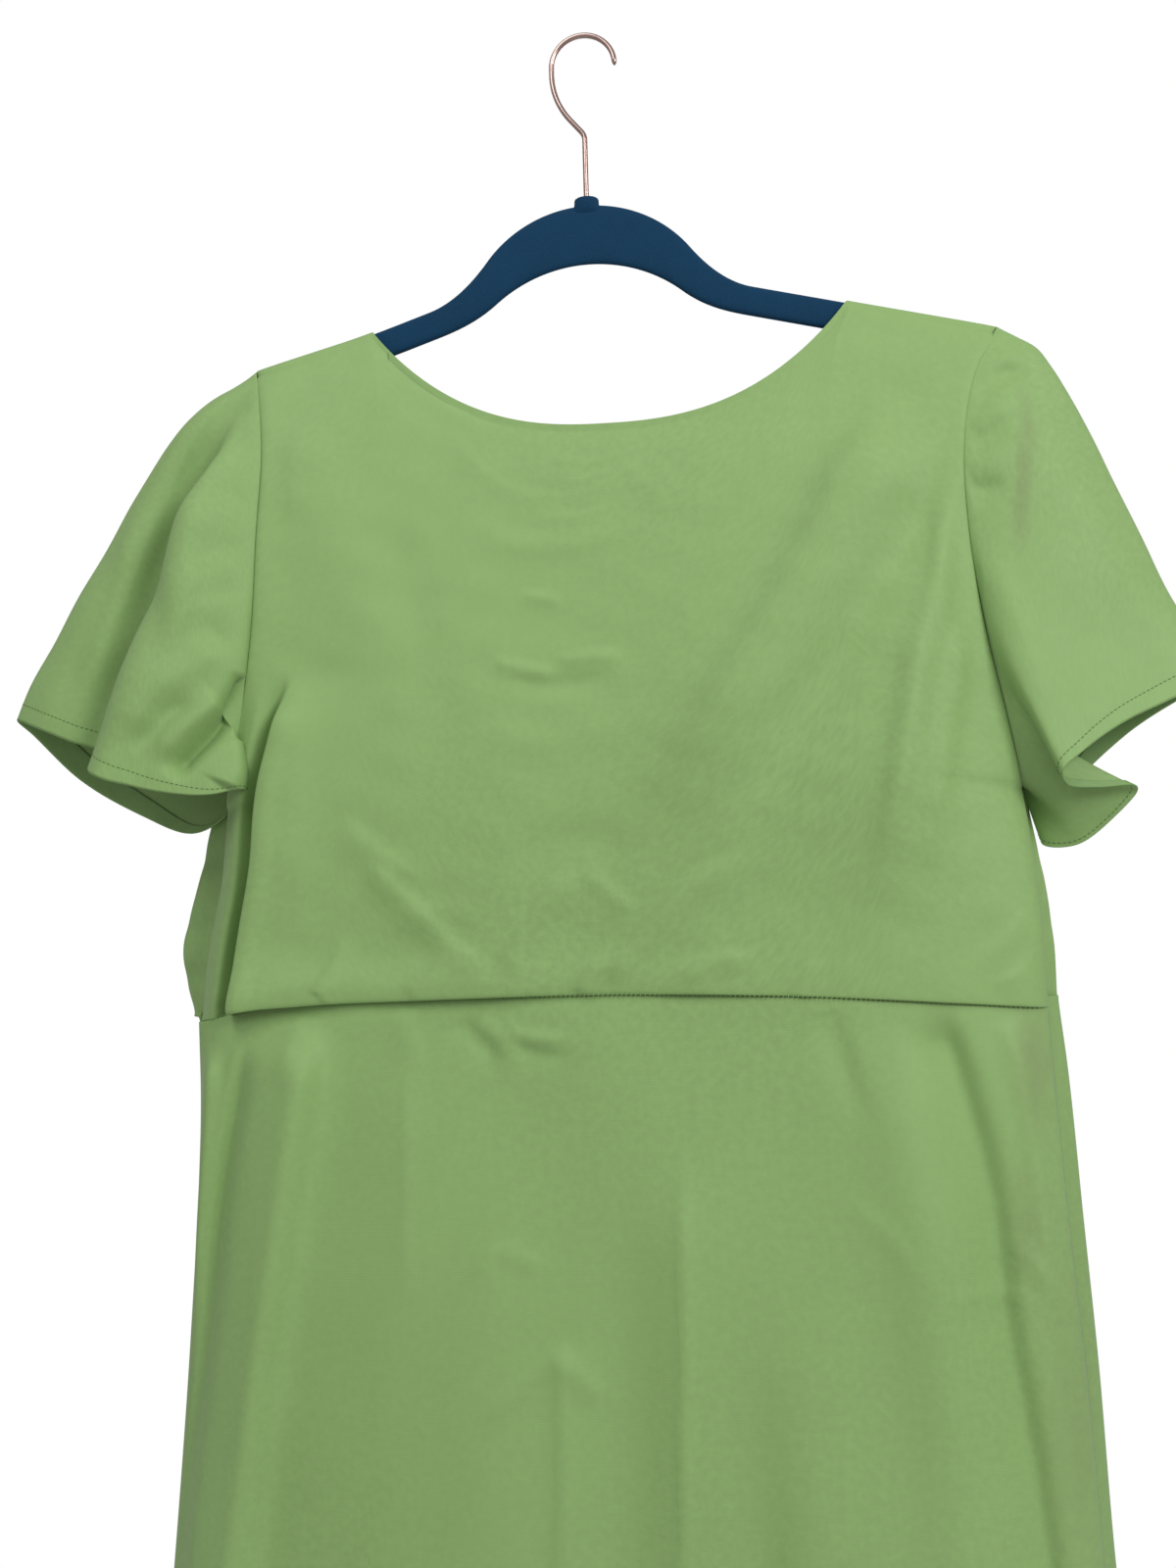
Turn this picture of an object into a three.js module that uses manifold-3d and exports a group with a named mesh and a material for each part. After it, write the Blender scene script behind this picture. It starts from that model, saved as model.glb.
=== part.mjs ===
// A short-sleeved, high-waisted gown hanging on a flocked hanger with a swivelling wire hook.
// Millimetres. +Z is up, +X is to the right seen from behind, and the wearer would face +Y.
// The origin is the place where the hook rests on its rail.

import * as THREE from 'three';
import { mergeVertices } from 'three/addons/utils/BufferGeometryUtils.js';
import Module from 'manifold-3d';

const wasm = await Module();
wasm.setup();

// ---- Driving dimensions -------------------------------------------------------------------

const GAP = 0.3; // between pieces that touch
const SEAM_HALF_GAP = 0.15; // from the seam plane to each of the two panels that meet there

// Rail hook
const WIRE_D = 3.6;
const CROOK_INNER_R = 19.5;
const CROOK_TIP_DEG = -3; // the free end, measured from +X
const THROAT_R = 50; // the long bend below the crook
const THROAT_TURN_DEG = 40;
const NECK_BEND_R = 9; // the short bend back to the vertical stem
const STEM_TOP_Z = -71;
const STEM_BORE_CLEARANCE = 0.4;
const SWAGE_D = 5;
const SWAGE_H = 3;

// Hanger
const HANGER_THICKNESS = 7;
const HANGER_EDGE_ROUND = HANGER_THICKNESS / 2 - 0.5;
const HANGER_HALF_SPAN = 222;
const BOSS_TOP_Z = -111.5;
const BOSS_WIDTH = 16.4;
const BOSS_DEPTH = 11;
const BOSS_HEIGHT = 9;
const BORE_DEPTH = 16; // the narrow part that guides the stem
const ARCH_TOP_Z = -116.6; // top of the centre arch
const ARCH_TOP_R = 86;
const ARCH_LOW_Z = -156.5;
const ARCH_LOW_R = 97;
const ARCH_TOP_END_X = 68; // where the upper arch hands over to the shoulder curve
const ARCH_LOW_END_X = 62;
const ARM_START_X = 108; // from here out the arm is straight
const ARM_TOP_START_Z = -180;
const ARM_LOW_START_Z = -199.5;
const ARM_SLOPE = 0.255;
const ARM_END_ROUND = 7;

// Gown, shared
const CLOTH = 2; // thickness of the plain solids that stand for the cloth
const TRIM = 1; // thickness of facings, bindings, tapes and labels
const SHOULDER_SHIFT = 11; // the gown sits this far to one side of the hook
const WAIST_SHIFT = 4;

// Bodice
const SHOULDER_HALF = 242; // to the sleeve seam at the top of the shoulder
const SHOULDER_TIP_DROP = 2; // beyond the end of the arm the cloth droops a little more
const ARM_GAP = 0.6; // between the hanger's arm and the cloth that rests on it
const ROLL_EASE = 1.2; // the cloth turns over the arm a little wider than the arm is thick
const NECK_HALF = 158;
const NECK_BACK_DROP = 77;
const NECK_FRONT_DROP = 118;
const NECK_BACK_OUT = 14; // how far the neckline stands off the plane of the hanger
const NECK_FRONT_OUT = 20;
const ARMHOLE_HOLLOW = 12; // how far the armhole curves in towards the body
const ARMHOLE_HALF_DEPTH = 22;
const UNDERARM_HALF = SHOULDER_HALF + 20;
const UNDERARM_Z = -514;
const WAIST_HALF = SHOULDER_HALF + 28;
const WAIST_Z = -650;
const BACK_DEPTH = 44; // panel to the plane of the hanger, at the waist
const FRONT_DEPTH = 56;
const FACING_DEPTH = 47;
const FACING_HALF = 132;
const WAIST_STAY_H = 10;
const SEAM_ALLOWANCE = 10;

// Sleeves. The outer corner of each hem reaches out from the shoulder seam and up from the
// underarm; the inner corner stands off the underarm and hangs a little below it.
const SLEEVE_HEM = {
  left: { outerReach: 173, outerRise: 70, innerReach: 17, innerDrop: 5 },
  right: { outerReach: 136, outerRise: 62, innerReach: 26, innerDrop: 18 },
};
const SLEEVE_CAP_REACH = 58; // the shoulder cap's control point
const SLEEVE_CAP_DROP = 56; // below the start of the hanger's arm
const SLEEVE_HEAD_HALF_DEPTH = 13;
const SLEEVE_HEM_HALF_DEPTH = 36;
const SLEEVE_HEM_BAND = 12;
const SLEEVE_SWING_SLOPE = 0.62; // sleeve head leans back this much, so that it can swing
const AXIS_GAP = 0.35; // sleeve head to the swing axis

// Skirt
const HEM_HALF = WAIST_HALF + 65;
const HEM_Z = -1418;
const SKIRT_HEM_BACK_DEPTH = 88;
const SKIRT_HEM_FRONT_DEPTH = 98;
const SKIRT_HEM_BAND = 20;
const SWAY_SLOPE = 0.165; // the skirt's top edge falls away this much, so that it can sway

// Labels
const NECK_LABEL_W = 52;
const NECK_LABEL_H = 18;
const NECK_LABEL_X = 8;
const CARE_LABEL_W = 28;
const CARE_LABEL_H = 48;

// Grids. The column places are shares of the way from the middle to the neck end of the
// shoulder, and from there to the sleeve seam; they crowd where the cloth turns.
const NECK_COLUMNS = [0, 0.25, 0.5, 0.7, 0.84, 0.93, 0.97, 0.985, 0.993, 1];
const SHOULDER_COLUMNS = [0.25, 0.5, 0.7, 0.84, 0.93, 0.98, 1];
const SKIRT_COLUMNS = 24;
const BODICE_ROWS = 9;
const SKIRT_ROWS = 10;
const ROLL_ROWS = 4; // rows that turn the cloth over the hanger's arm
const SLEEVE_SECTORS = 28;
const SLEEVE_ROWS = 7;

// ---- Materials ----------------------------------------------------------------------------

function finish(colour, roughness, metalness) {
  return new THREE.MeshStandardMaterial({ color: colour, roughness, metalness });
}

const SATIN = finish(0x8cac6d, 0.42, 0);
const SATIN_TRIM = finish(0x7e9c62, 0.55, 0);
const FLOCK = finish(0x1b3a57, 0.95, 0);
const WIRE = finish(0xc79f97, 0.22, 1);
const LABEL = finish(0xf1efe8, 0.7, 0);

// ---- Helpers ------------------------------------------------------------------------------

const group = new THREE.Group();

function add(name, geometry, material) {
  const mesh = new THREE.Mesh(geometry, material);
  mesh.name = name;
  group.add(mesh);
}

const rad = (deg) => (deg * Math.PI) / 180;
const mix = (a, b, t) => a + (b - a) * t;
const point = (x, y, z) => new THREE.Vector3(x, y, z);

// Cubic from (x0, z0) with slope s0 to (x1, z1) with slope s1.
function hermite(x, x0, z0, s0, x1, z1, s1) {
  const w = x1 - x0;
  const t = (x - x0) / w;
  const a = 2 * t ** 3 - 3 * t ** 2 + 1;
  const b = t ** 3 - 2 * t ** 2 + t;
  const c = 3 * t ** 2 - 2 * t ** 3;
  const d = t ** 3 - t ** 2;
  return a * z0 + b * w * s0 + c * z1 + d * w * s1;
}

// A closed solid of the given thickness around the surface fn(u, v), u and v from 0 to 1.
// A loop joins its last column to its first; fn then runs clockwise or anticlockwise freely,
// and the winding is put right at the end.
function sheet(fn, columns, rows, thickness, { loop = false, limit = (p) => p } = {}) {
  const step = 1e-4;
  const n = loop ? columns : columns + 1;
  const positions = [];
  for (const side of [0.5, -0.5]) {
    for (let j = 0; j <= rows; j++) {
      for (let i = 0; i < n; i++) {
        const u = i / columns;
        const v = j / rows;
        const u0 = loop ? u - step : Math.max(0, u - step);
        const u1 = loop ? u + step : Math.min(1, u + step);
        const alongU = fn(u1, v).sub(fn(u0, v));
        const alongV = fn(u, Math.min(1, v + step)).sub(fn(u, Math.max(0, v - step)));
        const normal = alongU.cross(alongV).normalize();
        const p = limit(fn(u, v).addScaledVector(normal, side * thickness));
        positions.push(p.x, p.y, p.z);
      }
    }
  }
  const layer = n * (rows + 1);
  const at = (i, j, k) => k * layer + j * n + (i % n);
  const index = [];
  const quad = (a, b, c, d) => index.push(a, b, c, a, c, d);
  for (let j = 0; j < rows; j++) {
    for (let i = 0; i < columns; i++) {
      quad(at(i, j, 0), at(i + 1, j, 0), at(i + 1, j + 1, 0), at(i, j + 1, 0));
      quad(at(i, j, 1), at(i, j + 1, 1), at(i + 1, j + 1, 1), at(i + 1, j, 1));
    }
    if (!loop) {
      quad(at(0, j, 0), at(0, j + 1, 0), at(0, j + 1, 1), at(0, j, 1));
      quad(at(columns, j, 0), at(columns, j, 1), at(columns, j + 1, 1), at(columns, j + 1, 0));
    }
  }
  for (let i = 0; i < columns; i++) {
    quad(at(i, 0, 0), at(i, 0, 1), at(i + 1, 0, 1), at(i + 1, 0, 0));
    quad(at(i, rows, 0), at(i + 1, rows, 0), at(i + 1, rows, 1), at(i, rows, 1));
  }
  const geometry = new THREE.BufferGeometry();
  geometry.setAttribute('position', new THREE.Float32BufferAttribute(positions, 3));
  geometry.setIndex(index);
  return facingOut(geometry);
}

// Turns every triangle over when the closed geometry encloses a negative volume.
function facingOut(geometry) {
  const p = geometry.attributes.position;
  const index = Array.from(geometry.index.array);
  const corner = (k) => new THREE.Vector3().fromBufferAttribute(p, index[k]);
  let volume = 0;
  for (let k = 0; k < index.length; k += 3) {
    volume += corner(k).dot(corner(k + 1).cross(corner(k + 2)));
  }
  if (volume < 0) {
    for (let k = 0; k < index.length; k += 3) {
      [index[k + 1], index[k + 2]] = [index[k + 2], index[k + 1]];
    }
    geometry.setIndex(index);
  }
  return geometry;
}

// The surface fn moved along its own normal; a positive offset goes to the side that
// sheet() puts first.
function inset(fn, offset) {
  const step = 1e-3;
  return (u, v) => {
    const alongU = fn(Math.min(1, u + step), v).sub(fn(Math.max(0, u - step), v));
    const alongV = fn(u, Math.min(1, v + step)).sub(fn(u, Math.max(0, v - step)));
    return fn(u, v).addScaledVector(alongU.cross(alongV).normalize(), offset);
  };
}

function solid(geometry) {
  const g = geometry.clone();
  g.deleteAttribute('normal');
  g.deleteAttribute('uv');
  const merged = mergeVertices(g, 1e-4);
  const vertProperties = new Float32Array(merged.attributes.position.array);
  const triVerts = new Uint32Array(merged.index.array);
  return new wasm.Manifold(new wasm.Mesh({ numProp: 3, vertProperties, triVerts }));
}

function fromSolid(manifold) {
  const mesh = manifold.getMesh();
  const geometry = new THREE.BufferGeometry();
  geometry.setAttribute('position', new THREE.BufferAttribute(mesh.vertProperties, 3));
  geometry.setIndex(new THREE.BufferAttribute(mesh.triVerts, 1));
  return geometry;
}

// A cylinder along Z from z0 up to z1 on the hook's own axis.
function cylinderZ(diameter, z0, z1, sides) {
  const g = new THREE.CylinderGeometry(diameter / 2, diameter / 2, z1 - z0, sides);
  return g.rotateX(Math.PI / 2).translate(0, 0, (z0 + z1) / 2);
}

// ---- Hook ---------------------------------------------------------------------------------

const POCKET_TOP_Z = BOSS_TOP_Z - BORE_DEPTH;
const POCKET_H = SWAGE_H + 2 * GAP + GAP;
const STEM_LOW_Z = POCKET_TOP_Z - GAP;

// Centre line of the wire: stem, bend to the left, straight slant, throat and crook.
class HookLine extends THREE.Curve {
  constructor() {
    super();
    const turn = rad(THROAT_TURN_DEG);
    const crookR = CROOK_INNER_R + WIRE_D / 2;
    const acrossBends = (THROAT_R + NECK_BEND_R) * (1 - Math.cos(turn));
    const slant = (crookR - acrossBends) / Math.sin(turn);
    const line = [];
    const arc = (cx, cz, r, from, to, steps) => {
      for (let k = 0; k <= steps; k++) {
        const a = rad(mix(from, to, k / steps));
        line.push(point(cx + r * Math.cos(a), 0, cz + r * Math.sin(a)));
      }
    };
    const straight = (x, z, steps) => {
      const start = line[line.length - 1].clone();
      for (let k = 1; k < steps; k++) {
        line.push(point(mix(start.x, x, k / steps), 0, mix(start.z, z, k / steps)));
      }
    };
    line.push(point(0, 0, STEM_LOW_Z));
    straight(0, STEM_TOP_Z, 5);
    arc(-NECK_BEND_R, STEM_TOP_Z, NECK_BEND_R, 0, THROAT_TURN_DEG, 4);
    const bend = line[line.length - 1].clone();
    const slantX = bend.x - slant * Math.sin(turn);
    const slantZ = bend.z + slant * Math.cos(turn);
    straight(slantX, slantZ, 3);
    const throatX = slantX + THROAT_R * Math.cos(turn);
    const throatZ = slantZ + THROAT_R * Math.sin(turn);
    arc(throatX, throatZ, THROAT_R, 180 + THROAT_TURN_DEG, 180, 6);
    straight(-crookR, -CROOK_INNER_R, 2);
    arc(0, -CROOK_INNER_R, crookR, 180, CROOK_TIP_DEG, 18);
    this.line = new THREE.CatmullRomCurve3(line, false, 'centripetal');
  }

  getPoint(t) {
    return this.line.getPoint(t);
  }
}

function circleShape(r, sides) {
  const corners = [];
  for (let k = 0; k < sides; k++) {
    const a = (2 * Math.PI * k) / sides;
    corners.push(new THREE.Vector2(r * Math.cos(a), r * Math.sin(a)));
  }
  return new THREE.Shape(corners);
}

function hookWire() {
  const settings = { steps: 60, extrudePath: new HookLine(), bevelEnabled: false };
  return new THREE.ExtrudeGeometry(circleShape(WIRE_D / 2, 10), settings);
}

function hookSwage() {
  const top = STEM_LOW_Z - GAP;
  return cylinderZ(SWAGE_D, top - SWAGE_H, top, 16);
}

// ---- Hanger -------------------------------------------------------------------------------

// Height of the hanger's upper edge at a distance x from its middle.
function hangerTopZ(x) {
  const a = Math.abs(x);
  const drop = ARCH_TOP_R - Math.sqrt(ARCH_TOP_R ** 2 - Math.min(a, ARCH_TOP_END_X) ** 2);
  if (a <= ARCH_TOP_END_X) {
    return ARCH_TOP_Z - drop;
  }
  if (a < ARM_START_X) {
    const slope = -ARCH_TOP_END_X / Math.sqrt(ARCH_TOP_R ** 2 - ARCH_TOP_END_X ** 2);
    const start = ARCH_TOP_Z - drop;
    return hermite(a, ARCH_TOP_END_X, start, slope, ARM_START_X, ARM_TOP_START_Z, -ARM_SLOPE);
  }
  return ARM_TOP_START_Z - (a - ARM_START_X) * ARM_SLOPE;
}

function hangerLowZ(x) {
  const a = Math.abs(x);
  const drop = ARCH_LOW_R - Math.sqrt(ARCH_LOW_R ** 2 - Math.min(a, ARCH_LOW_END_X) ** 2);
  if (a <= ARCH_LOW_END_X) {
    return ARCH_LOW_Z - drop;
  }
  if (a < ARM_START_X) {
    const slope = -ARCH_LOW_END_X / Math.sqrt(ARCH_LOW_R ** 2 - ARCH_LOW_END_X ** 2);
    const start = ARCH_LOW_Z - drop;
    return hermite(a, ARCH_LOW_END_X, start, slope, ARM_START_X, ARM_LOW_START_Z, -ARM_SLOPE);
  }
  return ARM_LOW_START_Z - (a - ARM_START_X) * ARM_SLOPE;
}

function hangerShape() {
  const shape = new THREE.Shape();
  const inner = HANGER_HALF_SPAN - ARM_END_ROUND;
  const bends = 13; // points along each half, the last one where the end starts to round
  const upper = [];
  const lower = [];
  for (let k = 0; k <= bends; k++) {
    const x = k < bends ? (ARM_START_X * k) / (bends - 1) : inner;
    upper.push([x, hangerTopZ(x)]);
    lower.push([x, hangerLowZ(x)]);
  }
  const mid = (hangerTopZ(inner) + hangerLowZ(inner)) / 2;
  const half = (hangerTopZ(inner) - hangerLowZ(inner)) / 2;
  const end = [];
  for (let k = 1; k < 6; k++) {
    const a = rad(90 - 30 * k);
    const lean = -(ARM_END_ROUND * Math.cos(a)) * ARM_SLOPE;
    end.push([inner + ARM_END_ROUND * Math.cos(a), mid + half * Math.sin(a) + lean]);
  }
  const right = [...upper, ...end, ...lower.slice().reverse()];
  const left = right.filter(([x]) => x > 0).reverse().map(([x, z]) => [-x, z]);
  const outline = [...right, ...left];
  shape.setFromPoints(outline.map(([x, z]) => new THREE.Vector2(x, z)));
  return shape;
}

function hangerBody() {
  const plate = new THREE.ExtrudeGeometry(hangerShape(), {
    depth: HANGER_THICKNESS - 2 * HANGER_EDGE_ROUND,
    bevelEnabled: true,
    bevelThickness: HANGER_EDGE_ROUND,
    bevelSize: HANGER_EDGE_ROUND,
    bevelOffset: -HANGER_EDGE_ROUND,
    bevelSegments: 3,
  });
  plate.translate(0, 0, -(HANGER_THICKNESS - 2 * HANGER_EDGE_ROUND) / 2);
  plate.rotateX(Math.PI / 2);
  const boss = new THREE.CylinderGeometry(BOSS_DEPTH / 2, BOSS_DEPTH / 2, BOSS_HEIGHT, 24);
  boss.rotateX(Math.PI / 2).scale(BOSS_WIDTH / BOSS_DEPTH, 1, 1);
  boss.translate(0, 0, BOSS_TOP_Z - BOSS_HEIGHT / 2);
  const bore = cylinderZ(WIRE_D + 2 * STEM_BORE_CLEARANCE, POCKET_TOP_Z - GAP, BOSS_TOP_Z + 1, 20);
  const pocketLow = POCKET_TOP_Z - POCKET_H - GAP;
  const pocket = cylinderZ(SWAGE_D + 2 * GAP, pocketLow, POCKET_TOP_Z, 20);
  const body = solid(plate).add(solid(boss)).subtract(solid(bore)).subtract(solid(pocket));
  return fromSolid(body);
}

// ---- Bodice -------------------------------------------------------------------------------

// The gown's middle line leans a little between the shoulders and the waist.
function leanX(z) {
  const t = THREE.MathUtils.clamp((z - WAIST_Z) / (hangerTopZ(NECK_HALF) - WAIST_Z), 0, 1);
  return mix(WAIST_SHIFT, SHOULDER_SHIFT, t);
}

const ROLL_R = HANGER_THICKNESS / 2 + ARM_GAP + CLOTH / 2 + ROLL_EASE;
const BINDING_MARGIN = 4 * CLOTH + 1.15 * ROLL_R; // from each end of the armhole to its binding

// Middle of the cloth along the shoulder, resting on the hanger's arm.
function shoulderZ(x) {
  const beyond = Math.max(0, Math.abs(x + SHOULDER_SHIFT) - HANGER_HALF_SPAN);
  const droop = SHOULDER_TIP_DROP * (beyond / (SHOULDER_HALF - HANGER_HALF_SPAN)) ** 2;
  return hangerTopZ(x + SHOULDER_SHIFT) + ARM_GAP + CLOTH / 2 - droop;
}

// How far the cloth stands off the hanger's plane where it is drop below the shoulder line.
function rollDepth(drop) {
  const t = 1 - THREE.MathUtils.clamp(drop / ROLL_R, 0, 1);
  return ROLL_R * Math.sqrt(1 - t * t);
}

const tipZ = (side) => shoulderZ(side * SHOULDER_HALF);

// Half width of the swing axis of a sleeve at height z.
function axisHalf(side, z) {
  return mix(SHOULDER_HALF, UNDERARM_HALF, (tipZ(side) - z) / (tipZ(side) - UNDERARM_Z));
}

// Height within the armhole: 1 at the shoulder tip, -1 at the underarm.
function armholeHeight(side, z) {
  return THREE.MathUtils.clamp((2 * (z - UNDERARM_Z)) / (tipZ(side) - UNDERARM_Z) - 1, -1, 1);
}

function bodiceHalf(side, z) {
  const room = AXIS_GAP + CLOTH / 2;
  if (z > UNDERARM_Z) {
    const hollow = ARMHOLE_HOLLOW * (1 - armholeHeight(side, z) ** 2);
    return axisHalf(side, z) - room - hollow;
  }
  return mix(UNDERARM_HALF, WAIST_HALF, (UNDERARM_Z - z) / (UNDERARM_Z - WAIST_Z)) - room;
}

function necklineZ(face, x) {
  const drop = face < 0 ? NECK_BACK_DROP : NECK_FRONT_DROP;
  const s = Math.min(1, Math.abs(x) / NECK_HALF);
  return mix(shoulderZ(-NECK_HALF), shoulderZ(NECK_HALF), (x / NECK_HALF + 1) / 2)
    - drop * (1 - s ** 2.5) ** 0.95;
}

// Top edge of a bodice panel: shoulder, neckline, shoulder.
function topZ(face, x) {
  return Math.abs(x) < NECK_HALF ? necklineZ(face, x) : shoulderZ(x);
}

// Bodice panel. face is -1 for the back and 1 for the front; across runs from -1 to 1;
// down is 0 just after the roll over the shoulder and 1 at the waist; turn is the angle of
// the roll, from 0 on top of the arm to 90 degrees where the cloth hangs.
function bodicePoint(face, across, down, turn = 90) {
  const side = across < 0 ? -1 : 1;
  const edgeZ = mix(tipZ(side), WAIST_Z, down);
  const x = across * bodiceHalf(side, edgeZ);
  const topX = across * bodiceHalf(side, tipZ(side));
  const top = topZ(face, topX);
  const rolled = top - ROLL_R * (1 - Math.cos(rad(turn)));
  const z = mix(rolled, WAIST_Z, down);
  const a = Math.abs(across);
  const neck = Math.max(0, 1 - (topX / NECK_HALF) ** 2);
  const standOff = (face < 0 ? NECK_BACK_OUT : NECK_FRONT_OUT) * neck * (1 - down) ** 2;
  const rim = Math.sqrt(Math.max(0, 1 - a ** 30));
  const cross = (1 - a ** 2.4) ** 0.6;
  const depth = (face < 0 ? BACK_DEPTH : FRONT_DEPTH) - ROLL_R;
  const grow = depth * Math.sin((Math.PI / 2) * down ** 0.8);
  const armhole = ARMHOLE_HALF_DEPTH * Math.sqrt(1 - armholeHeight(side, edgeZ) ** 2);
  const open = armhole * (1 - cross) * a ** 2;
  const roll = rollDepth(shoulderZ(topX) - z) * rim;
  const y = SEAM_HALF_GAP + standOff + roll + grow * cross + open;
  return point(x + leanX(z), face * y, z);
}

// Columns of a bodice panel, from -1 at the left armhole to 1 at the right one.
function bodiceColumns() {
  const neck = NECK_HALF / SHOULDER_HALF;
  const half = [
    ...NECK_COLUMNS.map((s) => s * neck),
    ...SHOULDER_COLUMNS.map((s) => mix(neck, 1, s)),
  ];
  return [...half.slice(1).reverse().map((s) => -s), ...half];
}

const COLUMNS = bodiceColumns();

// Value between -1 and 1 at a share u of the way through the columns.
function bodiceAcross(u) {
  const place = THREE.MathUtils.clamp(u, 0, 1) * (COLUMNS.length - 1);
  const k = Math.min(COLUMNS.length - 2, Math.floor(place));
  return mix(COLUMNS[k], COLUMNS[k + 1], place - k);
}

// Columns that crowd towards both sides.
const roundAcross = (u) => Math.sin(Math.PI * (u - 0.5));

// The panel as a surface of u and v: the first rows roll over the shoulder.
function bodiceSurface(face) {
  const rollShare = ROLL_ROWS / (ROLL_ROWS + BODICE_ROWS);
  return (u, v) => {
    const across = bodiceAcross(u);
    if (v <= rollShare) {
      return bodicePoint(face, across, 0, (90 * v) / rollShare);
    }
    return bodicePoint(face, across, ((v - rollShare) / (1 - rollShare)) ** 1.15);
  };
}

// Keeps a panel on its own side of the plane in which the two panels are sewn together.
function ownSide(face) {
  return (p) => {
    p.y = face * Math.max(SEAM_HALF_GAP, face * p.y);
    return p;
  };
}

// Offset that puts a trim inside a panel; the sign follows how the panel's surface is laid.
const insideOffset = (face) => face * (CLOTH / 2 + GAP + TRIM / 2);

function bodicePanel(face) {
  const rows = ROLL_ROWS + BODICE_ROWS;
  return sheet(bodiceSurface(face), COLUMNS.length - 1, rows, CLOTH, { limit: ownSide(face) });
}

// Where down reaches a given distance below the top edge, for a column.
function downAt(face, across, distance) {
  const side = across < 0 ? -1 : 1;
  const top = topZ(face, across * bodiceHalf(side, tipZ(side))) - ROLL_R;
  return distance / (top - WAIST_Z);
}

function facing(face) {
  const reach = FACING_HALF / bodiceHalf(1, tipZ(1));
  const base = (u, v) => {
    const across = mix(-reach, reach, u);
    const down = mix(0.004, downAt(face, across, FACING_DEPTH), v);
    return bodicePoint(face, across, down);
  };
  return sheet(inset(base, insideOffset(face)), 20, 3, TRIM);
}

// The binding inside an armhole: a flat ring that follows the opening.
function armholeBinding(side) {
  const height = (tipZ(side) - UNDERARM_Z) / 2;
  const middle = (tipZ(side) + UNDERARM_Z) / 2;
  const spare = CLOTH / 2 + GAP + TRIM / 2;
  const base = (u, v) => {
    const a = 2 * Math.PI * u;
    const z = middle + (height - BINDING_MARGIN) * Math.cos(a);
    const y = (ARMHOLE_HALF_DEPTH - spare) * Math.sin(a);
    const x = side * (bodiceHalf(side, z) - 0.5 - SEAM_ALLOWANCE * 0.8 * v);
    return point(x + leanX(z), y * (1 - 0.25 * v), z);
  };
  return sheet(base, 36, 1, TRIM, { loop: true });
}

// A strip of seam allowance that stands in the seam plane, from z0 down to z1.
function seamStrip(side, halfAt, z0, z1, rows) {
  const base = (u, v) => {
    const z = mix(z0, z1, v);
    const x = side * (halfAt(z) - CLOTH / 2 - 2 * GAP - SEAM_ALLOWANCE * u);
    return point(x + leanX(z), 0, z);
  };
  return sheet(base, 1, rows, TRIM * 0.8);
}

function waistStay(face) {
  const low = WAIST_Z + 4 * GAP;
  const base = (u, v) => {
    const across = 0.985 * roundAcross(u);
    const z = mix(low + WAIST_STAY_H, low, v);
    const p = bodicePoint(face, across, 1 - (z - WAIST_Z) / (tipZ(1) - WAIST_Z));
    p.z = z;
    return p;
  };
  return sheet(inset(base, insideOffset(face)), 22, 1, TRIM);
}

// ---- Sleeves ------------------------------------------------------------------------------

// Sleeve tube. around runs from 0 to 1, starting at the top; along is 0 at the armhole and
// 1 at the hem.
function sleevePoint(side, around, along) {
  const hem = side < 0 ? SLEEVE_HEM.left : SLEEVE_HEM.right;
  const capX = SHOULDER_HALF + SLEEVE_CAP_REACH;
  const capZ = ARM_TOP_START_Z - SLEEVE_CAP_DROP;
  const headZ = tipZ(side);
  const lowZ = UNDERARM_Z + CLOTH / 2 + GAP;
  const s = 1 - along;
  const topX = s * s * (axisHalf(side, headZ) + AXIS_GAP) + 2 * s * along * capX
    + along * along * (SHOULDER_HALF + hem.outerReach);
  const topZ = s * s * headZ + 2 * s * along * capZ
    + along * along * (UNDERARM_Z + hem.outerRise);
  const lowX = mix(axisHalf(side, lowZ) + AXIS_GAP, UNDERARM_HALF + hem.innerReach, along);
  const lowEdgeZ = mix(lowZ, UNDERARM_Z - hem.innerDrop, along);
  const a = 2 * Math.PI * around;
  const share = (1 + Math.cos(a)) / 2;
  const depth = mix(SLEEVE_HEAD_HALF_DEPTH, SLEEVE_HEM_HALF_DEPTH, along ** 0.8);
  const y = depth * Math.sin(a);
  const back = SLEEVE_SWING_SLOPE * Math.abs(y) * s ** 3;
  const x = mix(lowX, topX, share) + back;
  const z = mix(lowEdgeZ, topZ, share);
  return point(side * x + leanX(z), y, z);
}

function sleeve(side) {
  const surface = (u, v) => sleevePoint(side, u, v);
  return sheet(surface, SLEEVE_SECTORS, SLEEVE_ROWS, CLOTH, { loop: true });
}

// A band inside the tube, its own thickness and a gap smaller all round.
function sleeveBand(side, from, to) {
  const spare = CLOTH / 2 + GAP + TRIM / 2;
  const base = (u, v) => {
    const along = mix(from, to, v);
    const p = sleevePoint(side, u, along);
    const centre = sleevePoint(side, 0, along).add(sleevePoint(side, 0.5, along)).divideScalar(2);
    const around = sleevePoint(side, u + 1e-3, along).sub(sleevePoint(side, u - 1e-3, along));
    const onward = sleevePoint(side, u, along).sub(sleevePoint(side, u, along - 1e-2));
    const normal = around.cross(onward).normalize();
    const inward = normal.dot(centre.sub(p)) > 0 ? 1 : -1;
    return p.addScaledVector(normal, inward * spare);
  };
  return sheet(base, SLEEVE_SECTORS, 1, TRIM, { loop: true });
}

// ---- Skirt --------------------------------------------------------------------------------

const skirtHalf = (z) => mix(WAIST_HALF, HEM_HALF, (WAIST_Z - z) / (WAIST_Z - HEM_Z));
const skirtSide = (z) => skirtHalf(z) - AXIS_GAP - CLOTH / 2;

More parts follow.
